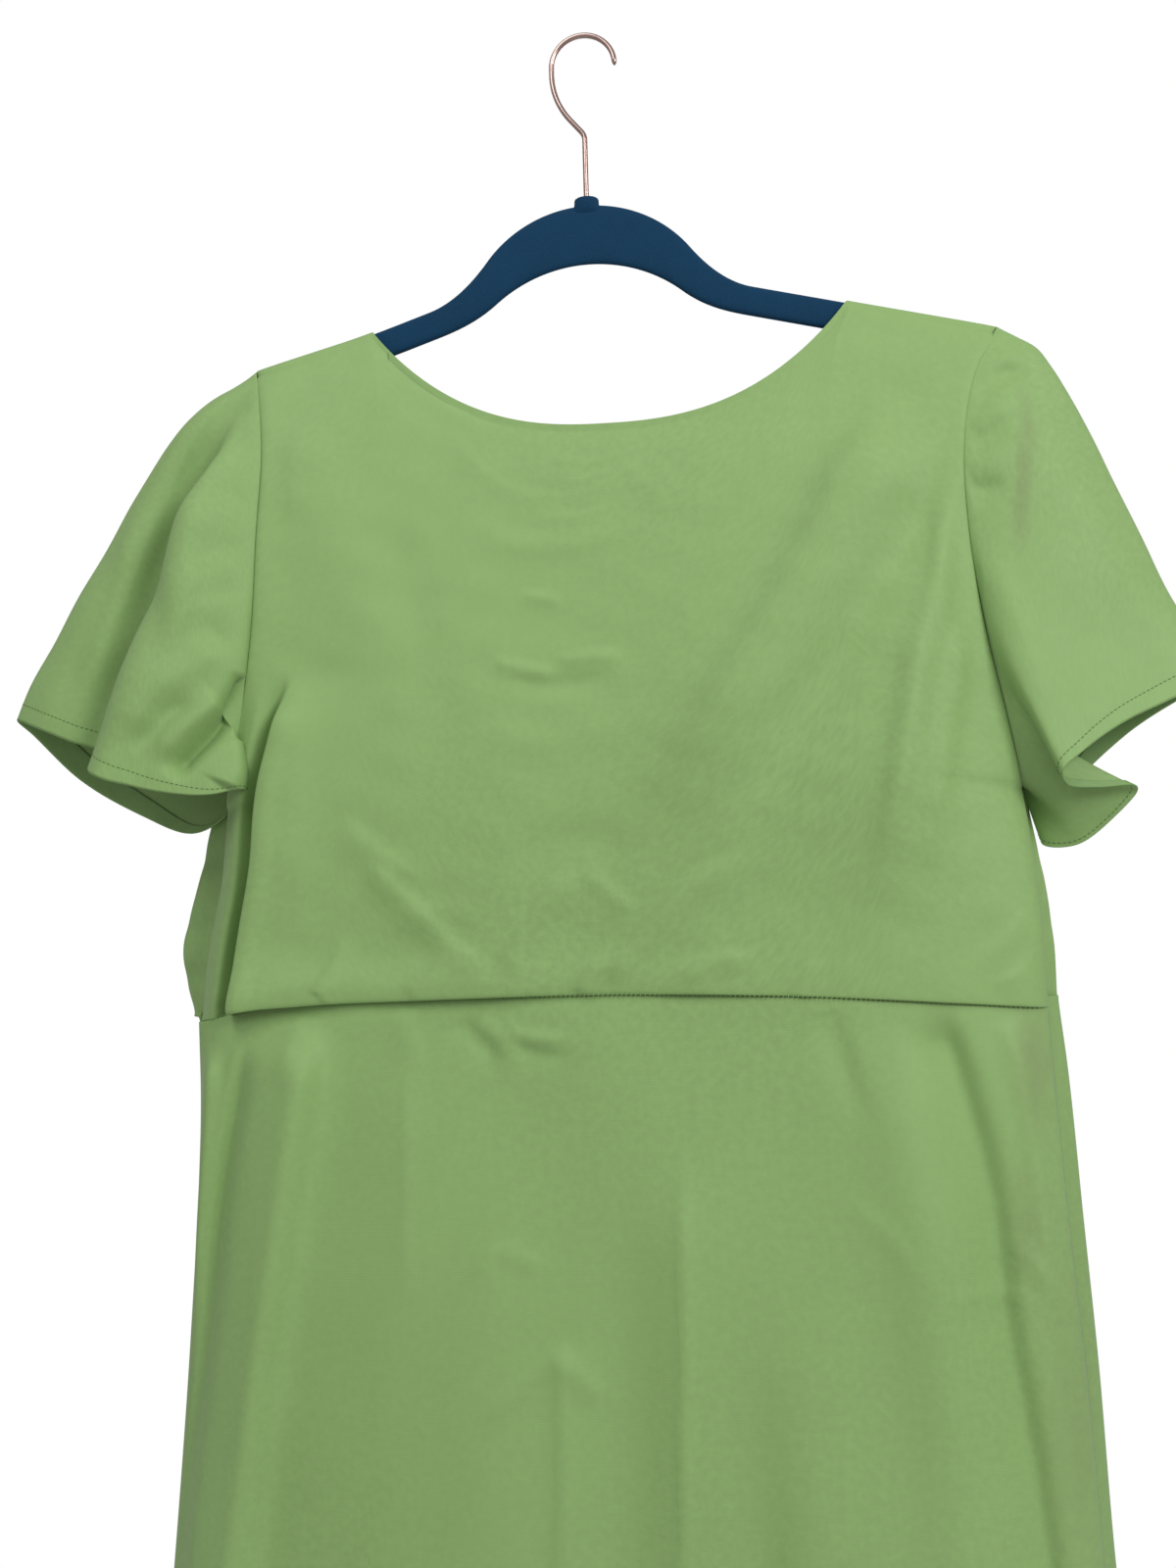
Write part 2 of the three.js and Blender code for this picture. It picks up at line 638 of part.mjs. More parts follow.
function skirtPoint(face, across, down) {
  const a = Math.abs(across);
  const waistDepth = face < 0 ? BACK_DEPTH : FRONT_DEPTH;
  const hemDepth = face < 0 ? SKIRT_HEM_BACK_DEPTH : SKIRT_HEM_FRONT_DEPTH;
  const depth = mix(waistDepth, hemDepth, down) * (1 - a ** 2.4) ** 0.6;
  const top = WAIST_Z - GAP - SWAY_SLOPE * depth;
  const z = mix(top, HEM_Z, down);
  const x = across * skirtSide(z);
  return point(x + leanX(z), face * (SEAM_HALF_GAP + depth), z);
}

function skirtPanel(face) {
  const surface = (u, v) => skirtPoint(face, roundAcross(u), v);
  return sheet(surface, SKIRT_COLUMNS, SKIRT_ROWS, CLOTH, { limit: ownSide(face) });
}

function skirtHem(face) {
  const start = 1 - SKIRT_HEM_BAND / (WAIST_Z - HEM_Z);
  const surface = (u, v) => skirtPoint(face, 0.985 * roundAcross(u), mix(start, 0.9995, v));
  return sheet(inset(surface, insideOffset(face)), 24, 1, TRIM);
}

// ---- Labels -------------------------------------------------------------------------------

// A blank woven label on the inside of the back facing.
function neckLabel() {
  const topEdge = necklineZ(-1, NECK_LABEL_X) - ROLL_R - 4;
  const stack = CLOTH / 2 + 2 * GAP + TRIM + TRIM / 2;
  const base = (u, v) => {
    const x = NECK_LABEL_X + mix(-0.5, 0.5, u) * NECK_LABEL_W;
    const across = x / bodiceHalf(1, tipZ(1));
    const z = topEdge - NECK_LABEL_H * v;
    const columnTop = topZ(-1, x) - ROLL_R;
    return bodicePoint(-1, across, (columnTop - z) / (columnTop - WAIST_Z));
  };
  return sheet(inset(base, insideOffset(-1) * (stack / (CLOTH / 2 + GAP + TRIM / 2))), 6, 2, TRIM);
}

// A blank care label sewn to the left side seam, hanging free inside the skirt.
function careLabel() {
  const top = WAIST_Z - 100;
  const outer = skirtSide(top) - CLOTH / 2 - 2 * GAP - SEAM_ALLOWANCE - GAP;
  const box = new THREE.BoxGeometry(CARE_LABEL_W, TRIM * 0.8, CARE_LABEL_H);
  return box.translate(leanX(top) - outer + CARE_LABEL_W / 2, 0, top - CARE_LABEL_H / 2);
}

// ---- Assembly -----------------------------------------------------------------------------

add('hook_wire', hookWire(), WIRE);
add('hook_swage', hookSwage(), WIRE);
add('hanger_body', hangerBody(), FLOCK);

for (const [face, name] of [[-1, 'back'], [1, 'front']]) {
  add(`bodice_${name}`, bodicePanel(face), SATIN);
  add(`neck_facing_${name}`, facing(face), SATIN_TRIM);
  add(`waist_stay_${name}`, waistStay(face), SATIN_TRIM);
  add(`skirt_${name}`, skirtPanel(face), SATIN);
  add(`skirt_hem_${name}`, skirtHem(face), SATIN_TRIM);
}

for (const [side, name] of [[-1, 'left'], [1, 'right']]) {
  const bodiceSide = (z) => bodiceHalf(side, z);
  const belowArm = UNDERARM_Z - SEAM_ALLOWANCE;
  const aboveWaist = WAIST_Z + WAIST_STAY_H + 8 * GAP;
  const belowWaist = WAIST_Z - SEAM_ALLOWANCE;
  add(`armhole_binding_${name}`, armholeBinding(side), SATIN_TRIM);
  add(`bodice_side_seam_${name}`, seamStrip(side, bodiceSide, belowArm, aboveWaist, 4), SATIN_TRIM);
  add(`sleeve_${name}`, sleeve(side), SATIN);
  add(`sleeve_hem_${name}`, sleeveBand(side, 0.95, 0.995), SATIN_TRIM);
  const aboveHem = HEM_Z + SKIRT_HEM_BAND + 2;
  add(`skirt_side_seam_${name}`, seamStrip(side, skirtSide, belowWaist, aboveHem, 8), SATIN_TRIM);
}

add('neck_label', neckLabel(), LABEL);
add('care_label', careLabel(), LABEL);

export default group;
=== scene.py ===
"""A short-sleeved, high-waisted gown on a flocked hanger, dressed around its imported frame."""

import math

import bmesh
import bpy
import numpy as np
from mathutils import Matrix, Vector


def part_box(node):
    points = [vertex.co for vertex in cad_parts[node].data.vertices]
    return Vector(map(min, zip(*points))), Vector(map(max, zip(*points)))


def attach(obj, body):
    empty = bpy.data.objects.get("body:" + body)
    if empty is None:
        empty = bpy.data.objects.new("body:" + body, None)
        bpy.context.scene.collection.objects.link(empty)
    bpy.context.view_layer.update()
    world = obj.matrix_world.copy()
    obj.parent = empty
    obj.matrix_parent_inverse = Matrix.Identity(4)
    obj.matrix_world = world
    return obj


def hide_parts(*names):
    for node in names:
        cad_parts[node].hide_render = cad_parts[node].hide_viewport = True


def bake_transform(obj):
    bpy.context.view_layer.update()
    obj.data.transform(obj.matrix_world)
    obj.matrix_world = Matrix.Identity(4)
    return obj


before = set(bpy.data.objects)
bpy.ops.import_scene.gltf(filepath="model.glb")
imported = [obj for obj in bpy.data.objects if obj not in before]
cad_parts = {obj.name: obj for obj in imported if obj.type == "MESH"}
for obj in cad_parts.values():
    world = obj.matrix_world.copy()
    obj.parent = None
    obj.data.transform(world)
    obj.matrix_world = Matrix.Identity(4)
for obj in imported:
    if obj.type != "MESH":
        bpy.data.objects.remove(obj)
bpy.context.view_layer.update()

bl_info = {
    "name": "Gown on hanger",
    "version": (1, 0, 0),
    "blender": (4, 5, 0),
    "location": "3D View > Sidebar > Gown",
    "description": "Builds the cloth, seams, hanger and hook of a hanging gown",
    "category": "Object",
}

MM = 0.001
GOWN = "hanger_and_bodice"
LEFT, RIGHT = -1, 1
BACK, FRONT = -1, 1

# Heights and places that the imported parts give, in millimetres
HEM_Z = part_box("skirt_back")[0][2] / MM
WAIST_Z = -650.0
UNDERARM_Z = -514.0
NECK_HALF = 158.0
SHOULDER_SHIFT = 11.0
ARM_EDGE_Z = {LEFT: -215.0, RIGHT: -218.0}

# Sizes of the cloth's details, in millimetres
ARM_ROLL = 5.6
ARMHOLE_DEPTH = 22.0
FACING_DEPTH = 47.0
PANEL_DROP = 430.0
SEAM_ALLOWANCE = np.array([9.0, 7.0, 0.0])
SEAM_INSET = np.array([1.2, 0.6, 0.0])
STITCH_PITCH = 1.25
ARM_SLOPE = -0.255
BOSS_SIDES = 40
BAR_SIDES = 36


# ---- Curves and folds ----------------------------------------------------------------------


def smooth(x, start, end):
    """0 before start, 1 after end, and 3t^2 - 2t^3 between them."""
    t = np.clip((np.asarray(x, float) - start) / (end - start), 0, 1)
    return t * t * (3 - 2 * t)


def through(x, knots):
    """The cubic that runs through the knots (x, y), with each slope taken from its neighbours."""
    xs, ys = np.array(knots, float).T
    if xs[0] > xs[-1]:
        xs, ys = xs[::-1], ys[::-1]
    slope = np.gradient(ys, xs) if len(xs) > 2 else np.full(2, (ys[1] - ys[0]) / (xs[1] - xs[0]))
    x = np.clip(x, xs[0], xs[-1])
    i = np.clip(np.searchsorted(xs, x) - 1, 0, len(xs) - 2)
    w = xs[i + 1] - xs[i]
    t = (x - xs[i]) / w
    return ((2 * t**3 - 3 * t**2 + 1) * ys[i] + (t**3 - 2 * t**2 + t) * w * slope[i]
            + (3 * t**2 - 2 * t**3) * ys[i + 1] + (t**3 - t**2) * w * slope[i + 1])


def path_through(points, count=26):
    """Points spread along a cubic path through the given ones."""
    p = np.array(points, float)
    steps = np.r_[0, np.cumsum(np.linalg.norm(np.diff(p, axis=0), axis=1))]
    s = np.linspace(0, steps[-1], count)
    return np.stack([through(s, np.stack([steps, p[:, k]], 1)) for k in range(p.shape[1])], 1)


def ring_through(t, points):
    """A closed cubic through points given as (share of the way round, x, y, z)."""
    p = np.array(points, float)
    shares = np.r_[p[-2:, 0] - 1, p[:, 0], p[:2, 0] + 1]
    rows = np.r_[p[-2:, 1:], p[:, 1:], p[:2, 1:]]
    return np.stack([through(t, np.stack([shares, rows[:, k]], 1)) for k in range(3)], -1)


def fold(X, Z, points, height, left, right=None, fade=(0.3, 0.3), sharp=False):
    """A fold along a path in the plane of X and Z.

    At distance d from the path it stands height * exp(-(d / width)^2) proud, or
    height * exp(-|d| / width) when it is sharp. The width is left on the left of the
    direction of travel and right on its other side. It dies out over the given shares of
    its length at both ends.
    """
    right = left if right is None else right
    path = path_through(points)
    best = np.full(X.shape, 1e9)
    side = np.zeros(X.shape)
    along = np.zeros(X.shape)
    for k in range(len(path) - 1):
        a, d = path[k], path[k + 1] - path[k]
        dx, dz = X - a[0], Z - a[1]
        t = (dx * d[0] + dz * d[1]) / (d @ d)
        inside = np.clip(t, 0, 1)
        far = np.hypot(dx - inside * d[0], dz - inside * d[1])
        nearer = far < best
        best = np.where(nearer, far, best)
        side = np.where(nearer, d[0] * dz - d[1] * dx, side)
        along = np.where(nearer, (k + inside) / (len(path) - 1), along)
    width = np.where(side > 0, left, right)
    shape = np.exp(-best / width) if sharp else np.exp(-((best / width) ** 2))
    ends = smooth(along, 0, max(fade[0], 1e-3)) * (1 - smooth(along, 1 - max(fade[1], 1e-3), 1))
    return height * shape * ends


def bell(x, place, before, after):
    """exp(-((x - place) / width)^2), where the width differs before and after the place."""
    return np.exp(-(((x - place) / np.where(x < place, before, after)) ** 2))


def ripple(X, Z, seed, size, height, stretch=1.0):
    """Gentle unevenness: a sum of twelve plane waves of random direction, near the given size."""
    rng = np.random.default_rng(seed)
    total = np.zeros(X.shape)
    for _ in range(12):
        turn, length, phase = rng.uniform(0, math.pi), size * rng.uniform(0.6, 1.7), rng.uniform(0, 6.28)
        total += np.sin((X * math.cos(turn) + Z * math.sin(turn) / stretch) * 6.283 / length + phase)
    return total * height / 3.5


# ---- Mesh tools ----------------------------------------------------------------------------


def grid_faces(rows, columns, closed=False):
    """Quads of a grid of points laid row by row; a closed grid joins its last column to its first."""
    last = columns if closed else columns - 1
    i, j = np.meshgrid(np.arange(last), np.arange(rows - 1))
    a, b = j * columns + i, j * columns + (i + 1) % columns
    return np.stack([a, b, b + columns, a + columns], -1).reshape(-1, 4)


def new_piece(name, points, faces, uv=None, turn=False):
    """A mesh object from whole arrays: points in millimetres, quads, and a uv for each point."""
    faces = np.asarray(faces)[:, ::-1] if turn else np.asarray(faces)
    mesh = bpy.data.meshes.new(name)
    mesh.from_pydata(np.asarray(points).reshape(-1, 3) * MM, [], faces.tolist())
    if uv is not None:
        layer = mesh.uv_layers.new(name="cloth")
        layer.data.foreach_set(
            "uv", np.asarray(uv).reshape(-1, 2)[faces.ravel()].ravel().astype(np.float32))
    mesh.polygons.foreach_set("use_smooth", np.ones(len(faces), bool))
    mesh.update()
    piece = bpy.data.objects.new(name, mesh)
    bpy.context.scene.collection.objects.link(piece)
    return piece


def thicken(piece, thickness, offset=0.0):
    """Gives a sheet its thickness in millimetres."""
    wall = piece.modifiers.new("thickness", "SOLIDIFY")
    wall.thickness = thickness * MM
    wall.offset = offset
    wall.use_even_offset = False
    return piece


def cloth_uv(P):
    """Distances over a surface P[row, column], in metres: across along each row and down each column."""
    du = np.linalg.norm(np.diff(P, axis=1), axis=2)
    dv = np.linalg.norm(np.diff(P, axis=0), axis=2)
    U = np.concatenate([np.zeros((P.shape[0], 1)), np.cumsum(du, 1)], 1)
    U -= U[:, -1:] / 2
    V = np.concatenate([np.zeros((1, P.shape[1])), np.cumsum(dv, 0)], 0)
    return np.stack([U, -V], -1) * MM


def normals_of(P):
    """Unit normals of a surface P[row, column]: across its rows and down its columns, crossed."""
    n = np.cross(np.gradient(P, axis=1), np.gradient(P, axis=0))
    return n / np.maximum(np.linalg.norm(n, axis=2, keepdims=True), 1e-9)


def end_caps(rings, sides):
    """Fans that close both ends of a ringed bar, whose two middle points follow its rings."""
    k = np.arange(sides)
    after, base = (k + 1) % sides, (rings - 1) * sides
    low = np.stack([np.full(sides, rings * sides), after, k], 1)
    high = np.stack([np.full(sides, rings * sides + 1), base + k, base + after], 1)
    return np.vstack([low, high]).tolist()


def tube(path, radius, sides=16):
    """Points and faces of a closed round bar along a path; the radius may change along it."""
    path = np.asarray(path, float)
    along = np.gradient(path, axis=0)
    along /= np.linalg.norm(along, axis=1, keepdims=True)
    ref = np.array([0.0, 1.0, 0.0])
    across = np.cross(along, ref)
    across /= np.linalg.norm(across, axis=1, keepdims=True)
    up = np.cross(across, along)
    a = np.arange(sides) * 2 * math.pi / sides
    r = np.broadcast_to(radius, len(path))[:, None, None]
    c, w = np.cos(a)[None, :, None], np.sin(a)[None, :, None]
    P = path[:, None] + r * (c * across[:, None] + w * up[:, None])
    faces = grid_faces(len(path), sides, closed=True).tolist() + end_caps(len(path), sides)
    return np.vstack([P.reshape(-1, 3), path[:1], path[-1:]]), faces


def bar(name, points, faces):
    """A closed bar from its points, in millimetres, and its quads and end fans."""
    mesh = bpy.data.meshes.new(name)
    mesh.from_pydata(points * MM, [], faces)
    mesh.polygons.foreach_set("use_smooth", np.ones(len(faces), bool))
    mesh.update()
    piece = bpy.data.objects.new(name, mesh)
    bpy.context.scene.collection.objects.link(piece)
    return outward(piece)


def outward(piece):
    """Turns every face of a closed mesh outwards."""
    work = bmesh.new()
    work.from_mesh(piece.data)
    bmesh.ops.recalc_face_normals(work, faces=work.faces)
    work.to_mesh(piece.data)
    work.free()
    return piece


def stitches(name, places, directions, ups, length=2.4, thick=0.5):
    """Small threads laid on a seam: one spindle of 6 by 5 points at each place, in millimetres.

    Along a stitch the radius is thick/2 * sin(pi*s)^0.5 and its middle stands proud of the cloth.
    """
    s = np.linspace(0.04, 0.96, 5)
    a = np.arange(6) * math.pi / 3
    r = thick / 2 * np.sin(math.pi * s) ** 0.5
    local = np.stack([
        np.broadcast_to(((s - 0.5) * length)[:, None], (5, 6)),
        r[:, None] * np.cos(a)[None],
        r[:, None] * np.sin(a)[None] + (0.25 * thick * np.sin(math.pi * s))[:, None],
    ], -1).reshape(-1, 3)
    T = directions / np.linalg.norm(directions, axis=1, keepdims=True)
    N = ups - np.sum(ups * T, 1, keepdims=True) * T
    N /= np.linalg.norm(N, axis=1, keepdims=True)
    B = np.cross(N, T)
    along, across, out = local[None, :, :1], local[None, :, 1:2], local[None, :, 2:]
    P = places[:, None] + (along * T[:, None] + across * B[:, None] + out * N[:, None])
    ends = [[0, 1, 2, 3], [0, 3, 4, 5], [24, 27, 26, 25], [24, 29, 28, 27]]
    one = np.vstack([grid_faces(5, 6, closed=True)[:, ::-1], ends])
    faces = (one[None] + 30 * np.arange(len(places))[:, None, None]).reshape(-1, 4)
    return outward(new_piece(name, P, faces))


def spread(points, step):
    """Places every step along a path, with the direction at each."""
    s = np.r_[0, np.cumsum(np.linalg.norm(np.diff(points, axis=0), axis=1))]
    at = np.arange(step / 2, s[-1], step)
    places = np.stack([np.interp(at, s, points[:, k]) for k in range(3)], 1)
    ahead = np.stack([np.interp(at + 0.6, s, points[:, k]) for k in range(3)], 1)
    before = np.stack([np.interp(at - 0.6, s, points[:, k]) for k in range(3)], 1)
    return places, ahead - before


# ---- The gown's shape ----------------------------------------------------------------------


def arm_edge(X, peak, radius, reach, arm):
    """An edge of the hanger: a circular arch, a cubic from its end at reach to 108, and a straight arm."""
    a = np.abs(X)
    arch = peak - (radius - np.sqrt(radius**2 - np.minimum(a, reach) ** 2))
    slope = -reach / math.sqrt(radius**2 - reach**2)
    start = peak - (radius - math.sqrt(radius**2 - reach**2))
    span = 108 - reach
    t = np.clip((a - reach) / span, 0, 1)
    bend = ((2 * t**3 - 3 * t**2 + 1) * start + (t**3 - 2 * t**2 + t) * span * slope
            + (3 * t**2 - 2 * t**3) * arm + (t**3 - t**2) * span * ARM_SLOPE)
    straight = arm + (a - 108) * ARM_SLOPE
    return np.where(a <= reach, arch, np.where(a < 108, bend, straight)) - 5 * smooth(-X, 60, 170)


def arm_top(X):
    """Height of the hanger's upper edge."""
    return arm_edge(X, -116.6, 86.0, 68, -180)


def arm_low(X):
    """Height of the hanger's lower edge."""
    return arm_edge(X, -156.5, 97.0, 62, -199.5)


def middle_x(Z):
    """The gown's middle line, which leans from the shoulders to the waist."""
    return 4 + 7 * np.clip((Z + 650) / 457, 0, 1)


EDGE_X = {
    LEFT: [(-205, -231), (-218, -227), (-262, -220), (-336, -222), (-403, -226), (-460, -235),
           (-514, -248), (-560, -252), (-610, -261), (-652, -267)],
    RIGHT: [(-205, 265), (-218, 263), (-240, 250), (-265, 242), (-300, 237), (-345, 237), (-420, 246),
            (-470, 256), (-514, 264), (-560, 269), (-610, 272), (-652, 273)],
}
EDGE_Y = {
    LEFT: [(-205, 0), (-514, -9), (-560, -11), (-610, -14), (-652, -9)],
    RIGHT: [(-205, 0), (-514, -8), (-560, -13), (-610, -15), (-652, -12)],
}
WAIST_LINE = [(-275, -652), (-250, -648), (-231, -643.5), (-190, -640), (-120, -638), (-25, -637),
              (60, -638), (143, -641.5), (220, -647), (280, -652)]


def shoulder_line(X):
    """Height of the cloth's middle where it rests on the hanger's arm."""
    return arm_top(X) + 1.4


def neckline(face, X):
    """Height of a panel's top edge: the shoulder line, less drop * (1 - s^2.5)^0.95 within the neck."""
    g = X - SHOULDER_SHIFT
    s = np.minimum(1, np.abs(g) / NECK_HALF)
    ends = shoulder_line(np.array([SHOULDER_SHIFT - NECK_HALF, SHOULDER_SHIFT + NECK_HALF]))
    line = ends[0] + (ends[1] - ends[0]) * (g / NECK_HALF + 1) / 2
    drop = 77 if face < 0 else 118
    scoop = line - drop * (1 - s**2.5) ** 0.95
    return np.where(np.abs(g) < NECK_HALF, scoop, shoulder_line(X))


def armhole_out(side, Z):
    """How far the armhole's edge stands off the middle plane: depth * sqrt(1 - h^2)."""
    h = np.clip(2 * (Z - UNDERARM_Z) / (ARM_EDGE_Z[side] - UNDERARM_Z) - 1, -1, 1)
    return ARMHOLE_DEPTH * np.sqrt(1 - h * h)


def edge_point(face, side, Z):
    """Where a bodice panel ends at height Z: the armhole seam, and the side seam below it."""
    X = through(Z, EDGE_X[side])
    Y = through(Z, EDGE_Y[side]) + face * armhole_out(side, Z)
    return np.stack([X, Y, Z], -1)


def bodice_columns():
    """Places across a panel from -1 to 1, closer at the neck's ends and near the armholes."""
    left = np.concatenate([np.linspace(-1, -0.96, 16)[:-1], np.linspace(-0.96, -0.78, 34)[:-1],
                           np.linspace(-0.78, -0.68, 12)[:-1], np.linspace(-0.68, -0.58, 18)[:-1],
                           np.linspace(-0.58, 0, 46)])
    return np.r_[left, -left[::-1][1:]]


def side_valley(gap, Z):
    """The back panel below the left armhole: its share of the full depth by the distance from the seam.

    It rises from the seam, drops into a deep valley and climbs a steep wall to a sharp
    upright crest. The second value says how much of this holds at height Z.
    """
    share = through(gap, [(0, 0), (8, 0.32), (14, 0.42), (20, 0.2), (26, -0.12), (29, -0.08), (31, 0.4),
                          (34, 0.9), (38, 1.03), (48, 1.01), (64, 1), (80, 1), (400, 1)])
    return share, smooth(Z, -654, -640) * (1 - smooth(Z, -462, -425))


def bodice_surface(face, a, down, turn):
    """The bodice panel as points: across a from -1 to 1, down from 0 to 1, turn is the roll on the arm.

    The edge rows follow the armhole and side seams; the top follows the neckline and shoulder.
    Depth grows as sin(pi/2 * down^0.8) towards the waist and falls to the seam as
    (1 - |a|^p)^0.5.
    """
    tip = np.where(a < 0, ARM_EDGE_Z[LEFT], ARM_EDGE_Z[RIGHT])
    edge_z = tip + (WAIST_Z - tip) * down
    both = [edge_point(face, s, edge_z) for s in (LEFT, RIGHT)]
    edge = np.where((a < 0)[..., None], both[0], both[1])
    top_edge = np.where(a < 0, through(tip, EDGE_X[LEFT]), through(tip, EDGE_X[RIGHT]))
    A = np.abs(a)
    X = middle_x(edge_z) * (1 - A) + A * edge[..., 0]
    top_x = middle_x(tip) * (1 - A) + A * top_edge
    top = neckline(face, top_x)
    rolled = top - ARM_ROLL * (1 - np.cos(turn))
    low = through(X, WAIST_LINE)
    Z = rolled + (low - rolled) * down
    neck = np.maximum(0, 1 - ((top_x - SHOULDER_SHIFT) / NECK_HALF) ** 2)
    off = (13 if face < 0 else 19) * neck * (1 - down) ** 2
    drop = np.clip((shoulder_line(top_x) - Z) / ARM_ROLL, 0, 1)
    rim = np.sqrt(np.maximum(0, 1 - A**30))
    roll = ARM_ROLL * np.sqrt(1 - (1 - drop) ** 2) * rim
    grow = (40 if face < 0 else 50) * np.sin(math.pi / 2 * down**0.8)
    flat = 1 - A**4.5
    cross = flat ** (1 - 0.5 * smooth(-edge_z, 455, 530))
    depth = off + roll + grow * cross
    seam = edge[..., 1]
    Y = face * depth + seam * (1 - cross) * A**2
    gap = (1 - A) * np.abs(edge[..., 0] - middle_x(edge_z))
    if face == BACK:
        share, here = side_valley(gap, Z)
        here = here * (a < 0)
        Y = Y + (seam + share * (-(off + roll + grow) - seam) - Y) * here
        X = X - 6 * bell(gap, 36, 7, 9) * here
    return np.stack([X, Y, Z], -1), gap


def bodice_back_folds(X, Z):
    """How far the folds of the back panel stand towards its outside, in millimetres."""
    f = np.zeros(X.shape)
    # broad soft folds fall from the right shoulder towards the middle
    f += fold(X, Z, [(210, -262), (176, -300), (135, -375), (84, -455), (30, -540)], 9.0, 36, 17,
              (0.2, 0.35))
    f -= fold(X, Z, [(236, -290), (206, -345), (166, -415), (120, -490), (84, -560)], 7.0, 15, 22,
              (0.25, 0.35))
    f += fold(X, Z, [(240, -300), (222, -370), (205, -425), (188, -510), (170, -600)], 7.0, 17, 10,
              (0.2, 0.35))
    f += fold(X, Z, [(238, -398), (226, -440), (214, -500), (200, -580)], 4.0, 10, 8, (0.25, 0.4))
    f += fold(X, Z, [(-215, -240), (-170, -330), (-120, -420), (-60, -480)], 3.5, 30, 34, (0.2, 0.4))
    f += fold(X, Z, [(-196, -420), (-198, -500), (-196, -590)], 2.2, 14, 20, (0.3, 0.3))
    f -= fold(X, Z, [(-150, -300), (-110, -420), (-90, -520)], 3.0, 20, 26, (0.3, 0.4))
    # creases across the middle of the back
    f += fold(X, Z, [(-66, -424), (-44, -431), (-20, -436)], 2.0, 3, 6)
    f += fold(X, Z, [(-26, -428), (0, -425), (24, -426)], 1.8, 3, 6)
    f += fold(X, Z, [(-47, -383), (-32, -385), (-16, -391)], 1.4, 3, 6)
    f -= fold(X, Z, [(-60, -438), (-20, -443), (20, -438)], 1.6, 5, 8)
    f += fold(X, Z, [(-74, -345), (-20, -352), (34, -342)], 1.2, 7, 8)
    f += fold(X, Z, [(-84, -470), (-30, -478), (30, -468)], 1.2, 10, 12)
    # creases above the waist that cross in a lattice
    f += fold(X, Z, [(-150, -548), (-118, -578), (-82, -612), (-62, -622)], 3.2, 5, 11, (0.2, 0.2))
    f += fold(X, Z, [(-62, -622), (-34, -580), (-12, -556)], 3.0, 5, 10, (0.15, 0.25))
    f += fold(X, Z, [(-12, -556), (8, -574), (26, -590)], 1.8, 4, 7)
    f += fold(X, Z, [(-46, -580), (-58, -600), (-76, -616)], 1.6, 4, 7)
    f += fold(X, Z, [(0, -626), (20, -608), (58, -572), (102, -549)], 3.8, 5, 12, (0.12, 0.35))
    f += fold(X, Z, [(46, -628), (70, -618), (98, -616)], 2.2, 4, 9)
    f += fold(X, Z, [(-168, -520), (-130, -552), (-100, -566)], 1.8, 6, 11)
    f += fold(X, Z, [(-140, -596), (-100, -584), (-62, -584)], 1.4, 8, 11)
    f -= fold(X, Z, [(-60, -560), (-20, -540), (30, -556)], 2.0, 12, 14)
    # short pleats that run up from the waist seam
    f += fold(X, Z, [(-12, -634), (-4, -622), (8, -612)], 2.4, 3, 5, (0.05, 0.5))
    f += fold(X, Z, [(-178, -634), (-166, -612), (-158, -590)], 1.8, 5, 8, (0.05, 0.5))
    f += fold(X, Z, [(-118, -634), (-100, -618), (-88, -600)], 1.8, 5, 8, (0.05, 0.5))
    f += fold(X, Z, [(120, -640), (128, -625), (132, -612)], 1.4, 4, 7, (0.05, 0.5))
    f += fold(X, Z, [(226, -622), (246, -610), (260, -594)], 1.6, 4, 10, (0.5, 0.1))
    f += fold(X, Z, [(236, -640), (254, -630), (268, -618)], 1.6, 4, 9, (0.5, 0.1))
    # the facing's edge shows through below the neck
    f += fold(X, Z, [(-100, -255), (-72, -295), (-48, -314), (-14, -319), (40, -300)], 0.6, 3, 8,
              (0.2, 0.3))
    f += fold(X, Z, [(-30, -292), (0, -297), (34, -290)], 0.6, 3, 5)
    f += fold(X, Z, [(-36, -304), (-8, -309), (24, -302), (44, -296)], 0.6, 3, 6)
    f += fold(X, Z, [(-44, -330), (-10, -334), (18, -328)], 0.7, 4, 7)
    f += fold(X, Z, [(24, -300), (40, -318), (52, -340)], 0.6, 4, 7)
    f += ripple(X, Z, 4, 130, 1.3, 1.6) + ripple(X, Z, 5, 46, 0.3)
    return f


def bodice_front_folds(X, Z):
    """Soft folds of the front panel, fuller over the chest and gathered a little at the waist seam."""
    f = 5.0 * np.exp(-(((X - 100) / 75) ** 2) - ((Z + 500) / 80) ** 2)
    f += 5.0 * np.exp(-(((X + 92) / 75) ** 2) - ((Z + 500) / 80) ** 2)
    for k, x in enumerate(np.linspace(-190, 200, 15)):
        lean = 10 * math.sin(2.1 * k)
        f += fold(X, Z, [(x, -640), (x + lean, -615), (x + 1.6 * lean, -590 + 8 * math.cos(k))], 1.5, 5, 7,
                  (0.05, 0.6))
    f += fold(X, Z, [(205, -240), (170, -340), (100, -440)], 3.0, 20, 26)
    f += fold(X, Z, [(-190, -240), (-160, -340), (-90, -430)], 3.0, 26, 20)
    f += fold(X, Z, [(-60, -350), (8, -368), (70, -352)], 1.4, 12, 14)
    f += ripple(X, Z, 14, 140, 0.9, 1.5)
    return f


